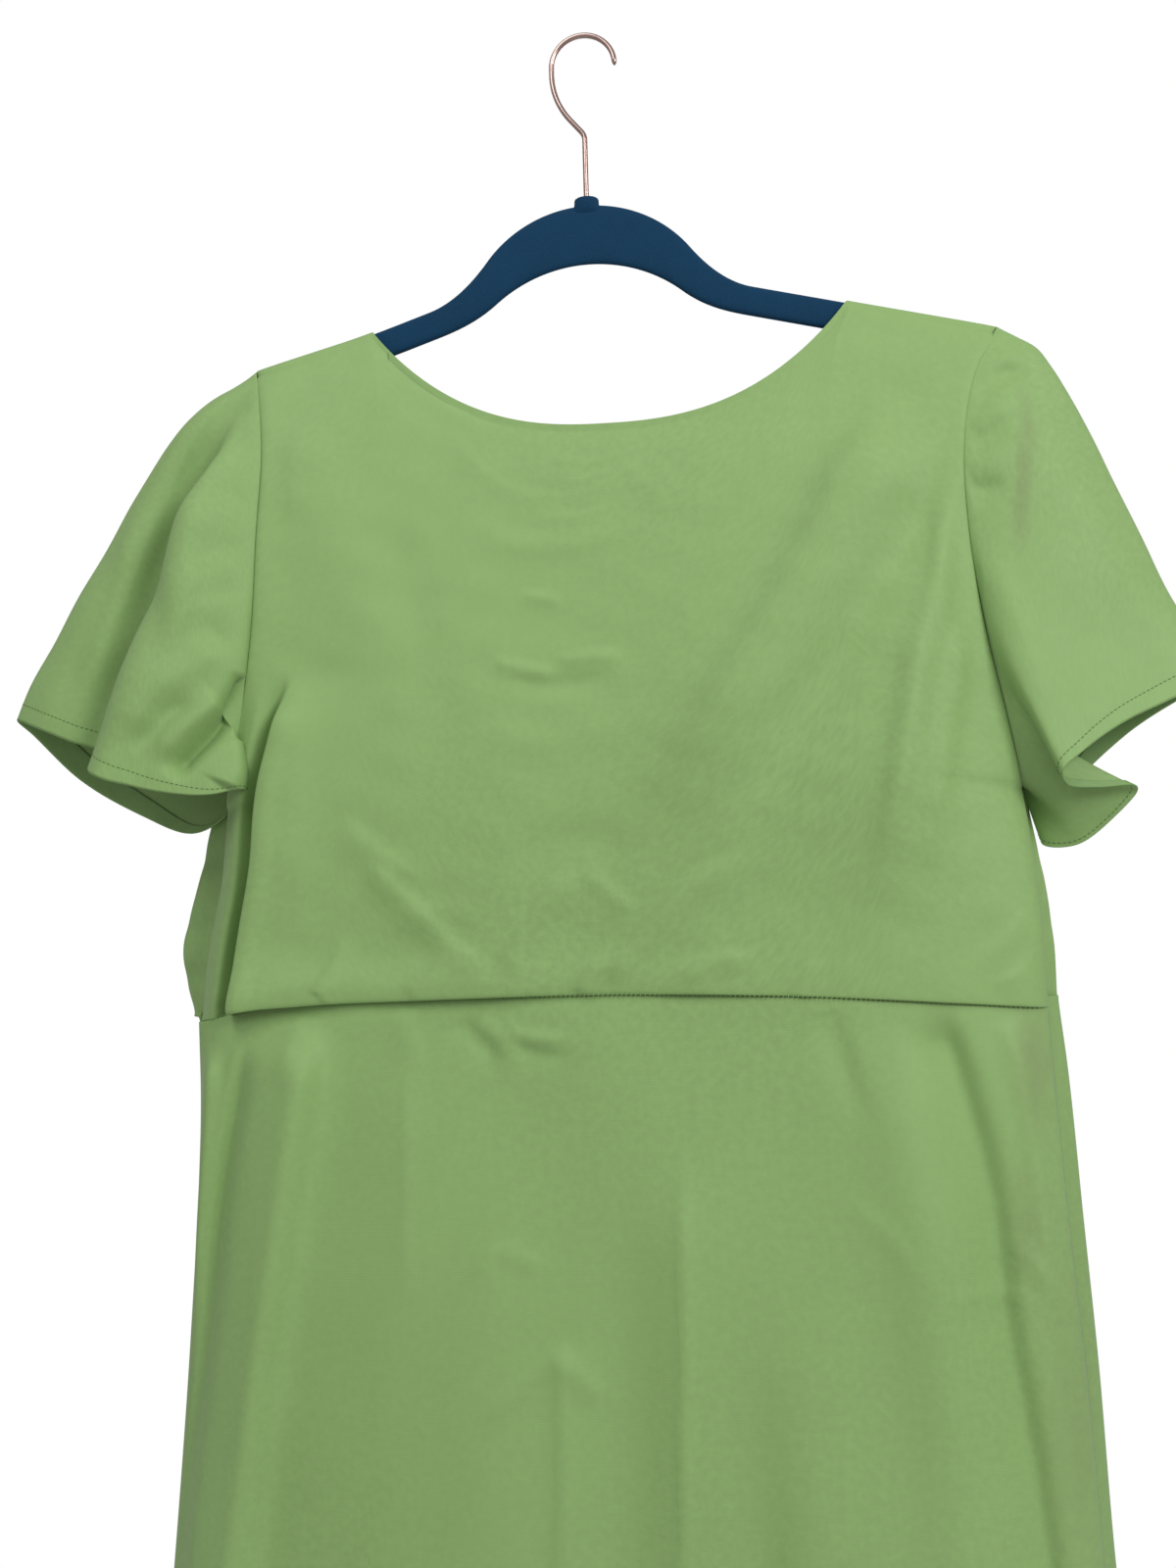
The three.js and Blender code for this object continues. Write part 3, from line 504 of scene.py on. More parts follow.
def with_folds(face, P, gap):
    """The panel's points moved outwards by its folds, which die out at its seams and top edge."""
    X, Z = P[..., 0], P[..., 2]
    folds = bodice_back_folds(X, Z) if face == BACK else bodice_front_folds(X, Z)
    move = folds * smooth(gap, 3, 26) * smooth(neckline(face, X) - Z, 2, 26)
    if face == BACK:
        swing = fold(X, Z, [(214, -262), (196, -400), (172, -500), (140, -600)], 9.0, 44, 110, (0.2, 0.3))
        move = move + swing * smooth(gap, 0, 60)
    moved = P.copy()
    moved[..., 1] += face * move
    return moved


# how far the front panels stand out past the side seams, by height
BOW = {
    LEFT: [(-100, 0), (-380, 0), (-405, 0), (-430, 0), (-455, -6), (-480, -20), (-505, -30), (-540, -38),
           (-570, -42), (-599, -44), (-629, -38), (-656, -28), (-675, -23), (-700, -12), (-735, -5),
           (-1420, -6)],
    RIGHT: [(-100, 0), (-380, 0), (-405, 0), (-430, 0), (-455, 6), (-480, 14), (-505, 19), (-535, 20),
            (-572, 23), (-610, 25), (-656, 25), (-700, 27), (-795, 27), (-870, 26), (-1420, 29)],
}


def waist_roll(X):
    """How far the bodice blouses over the waist seam, across the panel."""
    return through(X, [(-275, 2.5), (-235, 5.5), (-150, 6), (-60, 5), (0, 3.2), (60, 1.5), (280, 0.9)])


def bodice_points(face):
    """The whole panel: rows that roll over the arm, then rows down to the waist seam, with every fold."""
    a = bodice_columns()
    turns = np.linspace(0, math.pi / 2, 7)
    downs = np.r_[np.linspace(0, 1, 150)[:-1] ** 1.1 * 0.95, np.linspace(0.95, 1, 22)]
    down = np.r_[np.zeros(6), downs]
    turn = np.r_[turns[:-1], np.full(len(downs), math.pi / 2)]
    A, D = np.meshgrid(a, down)
    T = np.broadcast_to(turn[:, None], A.shape)
    P, gap = bodice_surface(face, A, D, T)
    P = with_folds(face, P, gap)
    X, Z = P[..., 0].copy(), P[..., 2].copy()
    # the blousing above the seam: a half round of the given size that turns under to the seam
    low = through(X, WAIST_LINE)
    h = (Z - low) / 7
    bulge = np.where(h < 1, np.sqrt(np.clip(1 - (1 - h) ** 2, 0, 1)), np.exp(-(((h - 1) / 2.4) ** 2)))
    P[..., 1] += face * waist_roll(X) * bulge * smooth(gap, 0, 16)
    sag = np.where(h < 0.9, np.sin(math.pi * np.clip(h / 0.9, 0, 1)), 0) * 0.45 * waist_roll(X)
    P[..., 2] -= sag * smooth(gap, 0, 16) * (face == BACK)
    if face == FRONT:
        # the front wraps round the side and stands out a little past the seam
        bow = bell(gap, 15, 9, 13) * smooth(gap, 0, 7)
        P[..., 0] += np.where(A < 0, through(Z, BOW[LEFT]), through(Z, BOW[RIGHT])) * bow
        P[..., 1] -= 4 * bow * smooth(-Z, 455, 525)
        for s, pz in ((LEFT, -545), (LEFT, -588), (LEFT, -622), (RIGHT, -560), (RIGHT, -600)):
            dent = np.exp(-(((gap - 12) / 9) ** 2) - ((P[..., 2] - pz) / 8) ** 2) * (A * s > 0)
            P[..., 1] += 2.5 * dent
    return P


# ---- Sleeves -------------------------------------------------------------------------------

SLEEVE_HEM = {
    LEFT: [(0.00, -401, 2, -445), (0.05, -382, -10, -452), (0.11, -355, -17, -463),
           (0.165, -333, -18, -472), (0.19, -326, -26, -480), (0.215, -321, -43, -489),
           (0.27, -300, -47, -497), (0.33, -272, -46, -503), (0.39, -248, -40, -504),
           (0.425, -233, -33, -501), (0.46, -235, -22, -505), (0.50, -245, -8, -510),
           (0.55, -258, 4, -519), (0.63, -282, 17, -526), (0.74, -322, 30, -512), (0.87, -370, 26, -482),
           (0.95, -394, 12, -454)],
    RIGHT: [(0.00, 393, 2, -449), (0.06, 378, -12, -455), (0.13, 350, -20, -467), (0.20, 322, -30, -480),
            (0.26, 298, -40, -496), (0.295, 284, -44, -508), (0.325, 288, -33, -516),
            (0.37, 308, -24, -518), (0.415, 331, -15, -517), (0.44, 334, -7, -520), (0.48, 322, -1, -534),
            (0.53, 300, 6, -551), (0.58, 279, 14, -551), (0.66, 294, 26, -522), (0.78, 335, 32, -482),
            (0.90, 375, 20, -457)],
}
CAP = {
    LEFT: [(0, 0), (0.03, 3), (0.06, 7), (0.1, 13), (0.186, 20), (0.26, 22), (0.395, 20), (0.53, 17),
           (0.66, 13.5), (0.79, 9), (0.916, 5), (1, 0)],
    RIGHT: [(0, 0), (0.05, 7), (0.092, 12.5), (0.157, 14.5), (0.226, 14.5), (0.341, 12.5), (0.49, 7),
            (0.62, 2.5), (0.75, -2), (1, 0)],
}
HEAD_AT = {
    # share of the way round -> share of the way down the armhole, back then front
    LEFT: [(0, 0), (0.10, 0.015), (0.18, 0.05), (0.24, 0.16), (0.3, 0.36), (0.4, 0.72), (0.5, 1),
           (0.62, 0.80), (0.75, 0.42), (0.88, 0.12), (1, 0)],
    RIGHT: [(0, 0), (0.10, 0.12), (0.2, 0.36), (0.3, 0.66), (0.4, 0.86), (0.5, 1), (0.62, 0.80),
            (0.75, 0.42), (0.88, 0.12), (1, 0)],
}


def sleeve_head(side, t):
    """The sleeve's edge in the armhole at a share t of the way round, from the shoulder by the back."""
    share = np.clip(through(t, HEAD_AT[side]), 0, 1)
    tip = ARM_EDGE_Z[side]
    Z = tip + (UNDERARM_Z - tip) * share
    face = np.where(t < 0.5, -1, 1)
    X = through(Z, EDGE_X[side])
    Y = through(Z, EDGE_Y[side]) + face * armhole_out(side, Z)
    return np.stack([X, Y, Z], -1)


def sleeve_folds(side, X, Z, t, s):
    """How far the folds of a sleeve stand off its tube, in millimetres; the folds lie on its back half."""
    back = smooth(t, 0.02, 0.08) * (1 - smooth(t, 0.44, 0.5))
    f = np.zeros(X.shape)
    if side == LEFT:
        pucker = [((-228, -240), (-258, -262), 1.8, 7, 9), ((-230, -264), (-268, -300), 1.3, 8, 12),
                  ((-231, -310), (-262, -318), 1.6, 6, 9), ((-232, -338), (-280, -372), 2.2, 9, 14),
                  ((-233, -372), (-270, -384), 1.3, 6, 8), ((-234, -398), (-288, -430), 2.6, 10, 15)]
        for (x0, z0), (x1, z1), h, above, below in pucker:
            middle = ((x0 + x1) / 2 - 3, (z0 + z1) / 2 + 3)
            f -= fold(X, Z, [(x0 + 6, z0 + 3), middle, (x1, z1)], h, above, below, (0.3, 0.6))
        # a deep fold that runs from the cap to the hem, with its crest towards the body
        long = smooth(s, 0.06, 0.34)
        f -= 16 * long * (1 - 0.5 * smooth(s, 0.75, 1)) * bell(t, 0.176, 0.06, 0.012)
        f += 9 * long * bell(t, 0.206, 0.011, 0.06)
        # swags that hang from the seam and turn up again
        f += fold(X, Z, [(-250, -290), (-262, -340), (-262, -380), (-278, -420), (-292, -446)], 5.0, 9, 16,
                  (0.25, 0.3))
        f -= fold(X, Z, [(-276, -300), (-282, -360), (-286, -410), (-300, -430)], 4.0, 9, 10, (0.25, 0.3))
        f += fold(X, Z, [(-240, -400), (-262, -424), (-286, -444), (-296, -476)], 5.0, 10, 14, (0.2, 0.25))
        f -= fold(X, Z, [(-256, -440), (-276, -452), (-290, -466), (-306, -470)], 3.5, 7, 8, (0.3, 0.35))
        f -= fold(X, Z, [(-222, -432), (-241, -460), (-258, -476), (-276, -494)], 13.0, 6, 9, (0.05, 0.2))
        f += fold(X, Z, [(-240, -444), (-262, -462), (-282, -486)], 5.0, 6, 10, (0.1, 0.3))
        f += fold(X, Z, [(-226, -470), (-232, -486), (-240, -500)], 6.0, 10, 10, (0.1, 0.1))
        f += fold(X, Z, [(-300, -300), (-330, -380), (-350, -440)], 3.0, 12, 16)
        f -= fold(X, Z, [(-318, -330), (-346, -400), (-366, -450)], 2.5, 10, 10)
    else:
        f += fold(X, Z, [(246, -252), (264, -240), (290, -235)], 4.5, 6, 8, (0.05, 0.5))
        f -= fold(X, Z, [(243, -262), (262, -252), (290, -247)], 4.5, 6, 8, (0.05, 0.5))
        f += fold(X, Z, [(242, -288), (256, -276), (274, -262)], 2.6, 6, 9, (0.05, 0.6))
        f -= fold(X, Z, [(241, -302), (256, -292), (272, -280)], 2.6, 6, 8, (0.05, 0.6))
        f += fold(X, Z, [(240, -318), (252, -312), (268, -302)], 2.0, 6, 8, (0.05, 0.6))
        f -= fold(X, Z, [(239, -330), (249, -328), (262, -322)], 3.0, 5, 8, (0.05, 0.6))
        f += fold(X, Z, [(270, -262), (300, -340), (326, -430)], 3.0, 22, 26)
        f += fold(X, Z, [(246, -360), (262, -420), (282, -480)], 2.0, 8, 14)
    f *= back
    return f + ripple(X, Z, 21 + side, 70, 0.6, 1.8)


def sleeve_points(side, t, s):
    """The sleeve as a ruled tube from the armhole (s = 0) to the hem (s = 1), with a raised cap.

    The cap lifts the upper lines off their chords by the listed heights, and the folded hem
    ring fades back into a smooth ring towards the armhole.
    """
    H = sleeve_head(side, t)
    M = ring_through(t, SLEEVE_HEM[side])
    P = H * (1 - s[..., None]) + M * s[..., None]
    chord = (ring_through(np.zeros(1), SLEEVE_HEM[side]) - sleeve_head(side, np.zeros(1)))[0]
    chord /= np.linalg.norm(chord)
    lift = np.array([-chord[2], 0, chord[0]]) * (1 if chord[0] > 0 else -1)
    near_top = np.minimum(t, 1 - t)
    top = (1 - smooth(near_top, 0.08, 0.30) if side == LEFT
           else np.maximum(0, np.cos(2 * math.pi * t)) ** 1.2)
    P = P + lift * (through(s, CAP[side]) * top)[..., None]
    # the gathered head stands out round the armhole
    round_ = np.stack([np.zeros_like(t), -np.sin(2 * math.pi * t), np.zeros_like(t)], -1)
    full = 8.0 * np.sin(math.pi * np.clip(s, 0, 1)) ** 0.8 * (1 - 0.6 * s)
    P = P + round_ * full[..., None]
    n = normals_of(P)
    centre = P.mean(axis=1, keepdims=True)
    out = np.sign(np.sum(n * (P - centre), axis=2).mean())
    f = sleeve_folds(side, P[..., 0], P[..., 2], t, s) * smooth(s, 0.0, 0.1)
    return P + out * n * f[..., None]


# ---- Skirt ---------------------------------------------------------------------------------

SKIRT_LEFT_SEAM = [(-650, -267), (-700, -266), (-760, -268), (-850, -274), (-995, -286), (-1200, -307),
                   (-1420, -328)]
SKIRT_RIGHT_SEAM = [(-650, 273), (-714, 276), (-785, 280), (-874, 286), (-989, 291), (-1200, 306),
                    (-1420, 326)]
SEAM_OUT = -13.0


def skirt_base(face, a, Z):
    """A skirt panel before its folds: x runs from seam to seam, and the depth is d * (1 - |a|^4)^0.5.

    The front panel wraps round the sides and stands a few millimetres past the seams.
    """
    left, right = through(Z, SKIRT_LEFT_SEAM), through(Z, SKIRT_RIGHT_SEAM)
    share = (Z - WAIST_Z) / (HEM_Z - WAIST_Z)
    X = np.where(a < 0, 4 + (4 - left) * a, 4 + (right - 4) * a)
    A = np.abs(a)
    depth = (44.6 + 35 * share) if face < 0 else (54 + 40 * share)
    power = 3.4 + np.where(a < 0, 2.6, 1.1) * (1 - smooth(share, 0, 0.3))
    cross = np.sqrt(np.maximum(0, 1 - A**power))
    Y = face * depth * cross + SEAM_OUT * (1 - cross) * A**2
    gap = (1 - A) * np.where(a < 0, 4 - left, right - 4)
    if face == FRONT:
        bow = bell(gap, 15, 10, 14) * smooth(gap, 0, 7)
        X = X + np.where(a < 0, through(Z - 10, BOW[LEFT]), through(Z - 10, BOW[RIGHT])) * bow
    return X, Y, gap


def skirt_back_folds(X, Z):
    """Cones and pressed creases of the skirt's back, in millimetres towards its outside."""
    f = np.zeros(X.shape)
    # the big cone near the left side: its crest, and the sharp valley beside it
    f += fold(X, Z, [(-186, -640), (-203, -750), (-222, -860), (-242, -990), (-298, -1420)], 13, 16, 46,
              (0.06, 0.0))
    f -= fold(X, Z, [(-224, -655), (-236, -704), (-246, -755), (-259, -850), (-274, -940), (-326, -1420)],
              7, 9, 4, (0.06, 0.0))
    f += fold(X, Z, [(-180, -640), (-195, -750), (-213, -850), (-229, -972), (-286, -1420)], 4, 8, 14,
              (0.06, 0.0))
    f += fold(X, Z, [(-120, -650), (-128, -800), (-140, -1000), (-160, -1420)], 2.5, 26, 26, (0.1, 0.0))
    # the folds near the right side
    f -= fold(X, Z, [(202, -640), (232, -770), (236, -830), (246, -900), (270, -1420)], 9, 9, 17,
              (0.04, 0.0))
    f += fold(X, Z, [(168, -650), (186, -760), (200, -900), (214, -1420)], 5, 18, 22, (0.1, 0.0))
    f += fold(X, Z, [(246, -655), (258, -720), (268, -850)], 3, 8, 8, (0.05, 0.4))
    f -= fold(X, Z, [(140, -648), (150, -690), (164, -730)], 2.5, 6, 10, (0.05, 0.6))
    f += fold(X, Z, [(120, -760), (118, -900), (120, -1420)], 5, 34, 34, (0.3, 0.0))
    f -= fold(X, Z, [(88, -800), (90, -1000), (96, -1420)], 5, 18, 22, (0.3, 0.0))
    f += fold(X, Z, [(-60, -700), (-66, -900), (-80, -1420)], 4, 40, 44, (0.2, 0.0))
    f -= fold(X, Z, [(16, -700), (14, -900), (8, -1420)], 4, 24, 22, (0.25, 0.0))
    # the long pressed crease, with a fine edge on it, and the shorter ones
    f += fold(X, Z, [(49, -720), (47, -840), (42, -1000), (24, -1410)], 7.0, 15, 36, (0.12, 0.0),
              sharp=True)
    f += fold(X, Z, [(49, -720), (47, -840), (42, -1000), (24, -1410)], 1.3, 1.6, 2.6, (0.1, 0.0))
    f += fold(X, Z, [(-29, -838), (-29, -930), (-31, -1000), (-38, -1400)], 3.4, 16, 5, (0.05, 0.0),
              sharp=True)
    f += fold(X, Z, [(-84, -894), (-29, -850)], 1.8, 4, 8, (0.4, 0.02))
    f += fold(X, Z, [(-29, -850), (1, -881)], 1.8, 4, 8, (0.02, 0.4))
    f += fold(X, Z, [(-122, -665), (-122, -740), (-124, -830)], 1.6, 5, 6, (0.3, 0.3), sharp=True)
    # small swags under the waist seam
    f -= fold(X, Z, [(-90, -650), (-73, -665), (-64, -684)], 2.6, 5, 8, (0.1, 0.4))
    f += fold(X, Z, [(-78, -650), (-60, -665), (-50, -686)], 2.2, 5, 8, (0.1, 0.5))
    f += fold(X, Z, [(-60, -652), (-49, -660), (-34, -663), (-16, -663)], 2.6, 4, 6, (0.15, 0.4))
    f -= fold(X, Z, [(-58, -664), (-40, -673), (-14, -673)], 1.6, 5, 8)
    f += fold(X, Z, [(-190, -645), (-196, -668), (-200, -690)], 2.5, 7, 10, (0.05, 0.5))
    f += fold(X, Z, [(-128, -642), (-120, -662), (-116, -690)], 1.8, 7, 10, (0.05, 0.6))
    # faint handling creases
    f += fold(X, Z, [(-92, -806), (-76, -800), (-70, -790), (-46, -796), (-30, -803)], 1.4, 3, 5)
    f += fold(X, Z, [(196, -822), (232, -818), (262, -826)], 1.1, 3, 5)
    f += fold(X, Z, [(236, -784), (254, -800), (268, -822), (276, -842)], 1.6, 4, 6)
    f += fold(X, Z, [(266, -846), (276, -850), (284, -848)], 1.3, 3, 4)
    f += fold(X, Z, [(140, -760), (164, -776), (190, -812)], 0.9, 4, 8)
    f += ripple(X, Z, 33, 110, 1.4, 3.0) + ripple(X, Z, 34, 50, 0.3, 2.0)
    return f


def skirt_front_folds(X, Z):
    """Upright cones of the skirt's front, which widen towards the hem."""
    f = np.zeros(X.shape)
    for k, x in enumerate((-235, -165, -90, -20, 60, 135, 210)):
        wide = 26 + 8 * math.sin(1.7 * k)
        high = 8 + 4 * math.cos(2.3 * k)
        f += fold(X, Z, [(x * 0.92, -655), (x * 0.98, -900), (x * 1.12, -1420)], high, wide, wide * 0.8,
                  (0.5, 0.0))
    f += ripple(X, Z, 43, 120, 0.8, 3.0)
    return f


def skirt_points(face):
    """A skirt panel: columns closer to the sides, rows from under the waist seam to the hem."""
    a = np.sin(np.linspace(-1, 1, 205) * math.pi / 2) * 0.55 + np.linspace(-1, 1, 205) * 0.45
    v = np.r_[np.linspace(0, 0.05, 22)[:-1], np.linspace(0.05, 1, 170)]
    A, V = np.meshgrid(a, v)
    Z = WAIST_Z + (HEM_Z - WAIST_Z) * V
    X, Y, gap = skirt_base(face, A, Z)
    top = through(X, WAIST_LINE)
    if face == FRONT:
        top = top + 6 * (1 - smooth((1 - np.abs(A)) * 270, 30, 80))
    Z = top + (HEM_Z - top) * V
    X, Y, gap = skirt_base(face, A, Z)
    folds = skirt_back_folds(X, Z) if face == BACK else skirt_front_folds(X, Z)
    grow = smooth(V, 0, 0.04)
    Y = Y + face * folds * smooth(gap, 0, 22) * (0.25 + 0.75 * grow)
    tuck = through(X, [(-280, 1.4), (-60, 1.2), (20, 0.8), (80, 0.3), (280, 0)])
    tuck = tuck * (1 - smooth(top - Z, 0, 12)) * smooth(gap, 0, 12)
    Y = Y - face * tuck
    if face == BACK:
        # the left edge of the panel folds forward over the valley
        lap = fold(X, Z, [(-252, -662), (-256, -720), (-268, -810), (-280, -900)], 9, 7, 7, (0.1, 0.5))
        Y = Y - lap * smooth(gap, 0, 8)
    flare = np.sin(A * 9.0 + 0.6) * 3.0 * smooth(V, 0.5, 1) * smooth(gap, 0, 30)
    Z = Z + 1.5 * np.sin(A * 7.0) * smooth(V, 0.9, 1)
    Z = np.maximum(Z, HEM_Z)
    Y = Y + flare
    return np.stack([X, Y, Z], -1)


# ---- Materials -----------------------------------------------------------------------------


def linear(colour):
    """Screen colour from 0 to 255 as linear light, with an alpha of 1."""
    c = np.array(colour, float) / 255
    return tuple(np.where(c <= 0.04045, c / 12.92, ((c + 0.055) / 1.055) ** 2.4)) + (1.0,)


def group(name, inputs, outputs):
    """An empty shader node group with the named sockets."""
    tree = bpy.data.node_groups.new(name, "ShaderNodeTree")
    for label, kind, default in inputs:
        s = tree.interface.new_socket(label, in_out="INPUT", socket_type=kind)
        s.default_value = default
    for label, kind in outputs:
        tree.interface.new_socket(label, in_out="OUTPUT", socket_type=kind)
    return tree, tree.nodes.new("NodeGroupInput"), tree.nodes.new("NodeGroupOutput")


def wire(tree, *pairs):
    """Links each (output, input) pair."""
    for a, b in pairs:
        tree.links.new(a, b)


def node(tree, kind, **values):
    """A new node; values that start with in_ set its inputs, and the others its properties."""
    n = tree.nodes.new(kind)
    for key, value in values.items():
        if key.startswith("in_"):
            name = key[3:].replace("_", " ")
            n.inputs[int(name) if name.isdigit() else name].default_value = value
        else:
            setattr(n, key, value)
    return n


def sateen_group():
    """Fine satin weave: a height and a colour mask from crossed threads, softened and a little uneven."""
    tree, gin, gout = group("sateen weave", [("Vector", "NodeSocketVector", (0, 0, 0)),
                                             ("Pitch", "NodeSocketFloat", 0.0006),
                                             ("Unevenness", "NodeSocketFloat", 0.5)],
                            [("Height", "NodeSocketFloat"), ("Mask", "NodeSocketFloat"),
                             ("Streak", "NodeSocketFloat")])
    long = node(tree, "ShaderNodeMapping")
    long.inputs["Scale"].default_value = (1, 0.06, 1)
    streak = node(tree, "ShaderNodeTexNoise", in_Scale=160.0, in_Detail=4.0, in_Roughness=0.6)
    wire(tree, (gin.outputs["Vector"], long.inputs["Vector"]), (long.outputs[0], streak.inputs["Vector"]),
         (streak.outputs["Fac"], gout.inputs["Streak"]))
    per = node(tree, "ShaderNodeMath", operation="DIVIDE", in_0=1.0)
    scale = node(tree, "ShaderNodeVectorMath", operation="SCALE")
    wire(tree, (gin.outputs["Pitch"], per.inputs[1]), (gin.outputs["Vector"], scale.inputs[0]),
         (per.outputs[0], scale.inputs["Scale"]))
    warp = node(tree, "ShaderNodeTexWave", wave_type="BANDS", bands_direction="X", in_Scale=0.32,
                in_Distortion=0.4, in_Detail=1.0)
    weft = node(tree, "ShaderNodeTexWave", wave_type="BANDS", bands_direction="Y", in_Scale=0.16,
                in_Distortion=0.6, in_Detail=1.0)
    slub = node(tree, "ShaderNodeTexNoise", in_Scale=0.12, in_Detail=3.0)
    mix = node(tree, "ShaderNodeMath", operation="MULTIPLY_ADD", in_1=0.6)
    add = node(tree, "ShaderNodeMath", operation="MULTIPLY_ADD")
    wire(tree, (scale.outputs[0], warp.inputs["Vector"]), (scale.outputs[0], weft.inputs["Vector"]),
         (scale.outputs[0], slub.inputs["Vector"]),
         (warp.outputs["Fac"], mix.inputs[0]), (weft.outputs["Fac"], mix.inputs[2]),
         (slub.outputs["Fac"], add.inputs[0]), (gin.outputs["Unevenness"], add.inputs[1]),
         (mix.outputs[0], add.inputs[2]),
         (add.outputs[0], gout.inputs["Height"]), (slub.outputs["Fac"], gout.inputs["Mask"]))
    return tree


def wear_group():
    """Slow colour drift and soft handling marks: two noises of different size, as masks from 0 to 1."""
    tree, gin, gout = group("cloth wear", [("Vector", "NodeSocketVector", (0, 0, 0)),
                                           ("Size", "NodeSocketFloat", 4.0)],
                            [("Drift", "NodeSocketFloat"), ("Mottle", "NodeSocketFloat")])
    slow = node(tree, "ShaderNodeTexNoise", in_Detail=2.0, in_Roughness=0.45)
    fine = node(tree, "ShaderNodeTexNoise", in_Scale=60.0, in_Detail=4.0, in_Roughness=0.6)
    wire(tree, (gin.outputs["Vector"], slow.inputs["Vector"]), (gin.outputs["Size"], slow.inputs["Scale"]),
         (gin.outputs["Vector"], fine.inputs["Vector"]), (slow.outputs["Fac"], gout.inputs["Drift"]),
         (fine.outputs["Fac"], gout.inputs["Mottle"]))
    return tree


def mark_group():
    """One soft streak: 1 near its centre and 0 outside a stretched ball, broken up by noise."""
    tree, gin, gout = group("soft mark", [("Vector", "NodeSocketVector", (0, 0, 0)),
                                          ("Centre", "NodeSocketVector", (0, 0, 0)),
                                          ("Stretch", "NodeSocketVector", (1, 1, 1))],
                            [("Mask", "NodeSocketFloat")])
    away = node(tree, "ShaderNodeVectorMath", operation="SUBTRACT")
    shape = node(tree, "ShaderNodeVectorMath", operation="MULTIPLY")
    far = node(tree, "ShaderNodeVectorMath", operation="LENGTH")
    rough = node(tree, "ShaderNodeTexNoise", in_Scale=90.0, in_Detail=4.0)
    push = node(tree, "ShaderNodeMath", operation="MULTIPLY_ADD", in_1=0.7)
    soft = node(tree, "ShaderNodeMapRange", interpolation_type="SMOOTHSTEP")
    soft.inputs["From Min"].default_value = 1.35
    soft.inputs["From Max"].default_value = 0.25
    wire(tree, (gin.outputs["Vector"], away.inputs[0]), (gin.outputs["Centre"], away.inputs[1]),
         (away.outputs[0], shape.inputs[0]),
         (gin.outputs["Stretch"], shape.inputs[1]), (shape.outputs[0], far.inputs[0]),
         (gin.outputs["Vector"], rough.inputs["Vector"]),
         (rough.outputs["Fac"], push.inputs[0]), (far.outputs["Value"], push.inputs[2]),
         (push.outputs[0], soft.inputs["Value"]),
         (soft.outputs["Result"], gout.inputs["Mask"]))
    return tree


def material(name):
    """A new material, its node tree and its shader."""
    m = bpy.data.materials.new(name)
    m.use_nodes = True
    tree = m.node_tree
    return m, tree, tree.nodes["Principled BSDF"]


def mixed(tree, factor, first, second, blend="MIX"):
    """A colour mix node; either colour may be a socket or a value."""
    n = node(tree, "ShaderNodeMix", data_type="RGBA", blend_type=blend, clamp_factor=True)
    for value, slot_ in ((first, n.inputs["A"]), (second, n.inputs["B"])):
        if isinstance(value, bpy.types.NodeSocket):
            tree.links.new(value, slot_)
        else:
            slot_.default_value = value
    if isinstance(factor, bpy.types.NodeSocket):
        tree.links.new(factor, n.inputs["Factor"])
    else:
        n.inputs["Factor"].default_value = factor
    return n.outputs["Result"]


def scaled(tree, socket, low, high):
    """The mask moved from 0..1 to low..high."""
    n = node(tree, "ShaderNodeMapRange")
    n.inputs["To Min"].default_value = low
    n.inputs["To Max"].default_value = high
    tree.links.new(socket, n.inputs["Value"])
    return n.outputs["Result"]


MARKS = {
    "sleeve": [((0.277, -0.03, -0.290), (130, 5, 26), 0.30), ((0.272, -0.03, -0.320), (130, 5, 30), 0.34),
               ((0.268, -0.03, -0.348), (120, 5, 34), 0.30)],
    "skirt": [((0.262, -0.03, -0.685), (50, 6, 16), 0.34), ((0.252, -0.03, -0.780), (60, 6, 20), 0.24),
              ((0.276, -0.03, -0.90), (34, 6, 7), 0.22)],
}


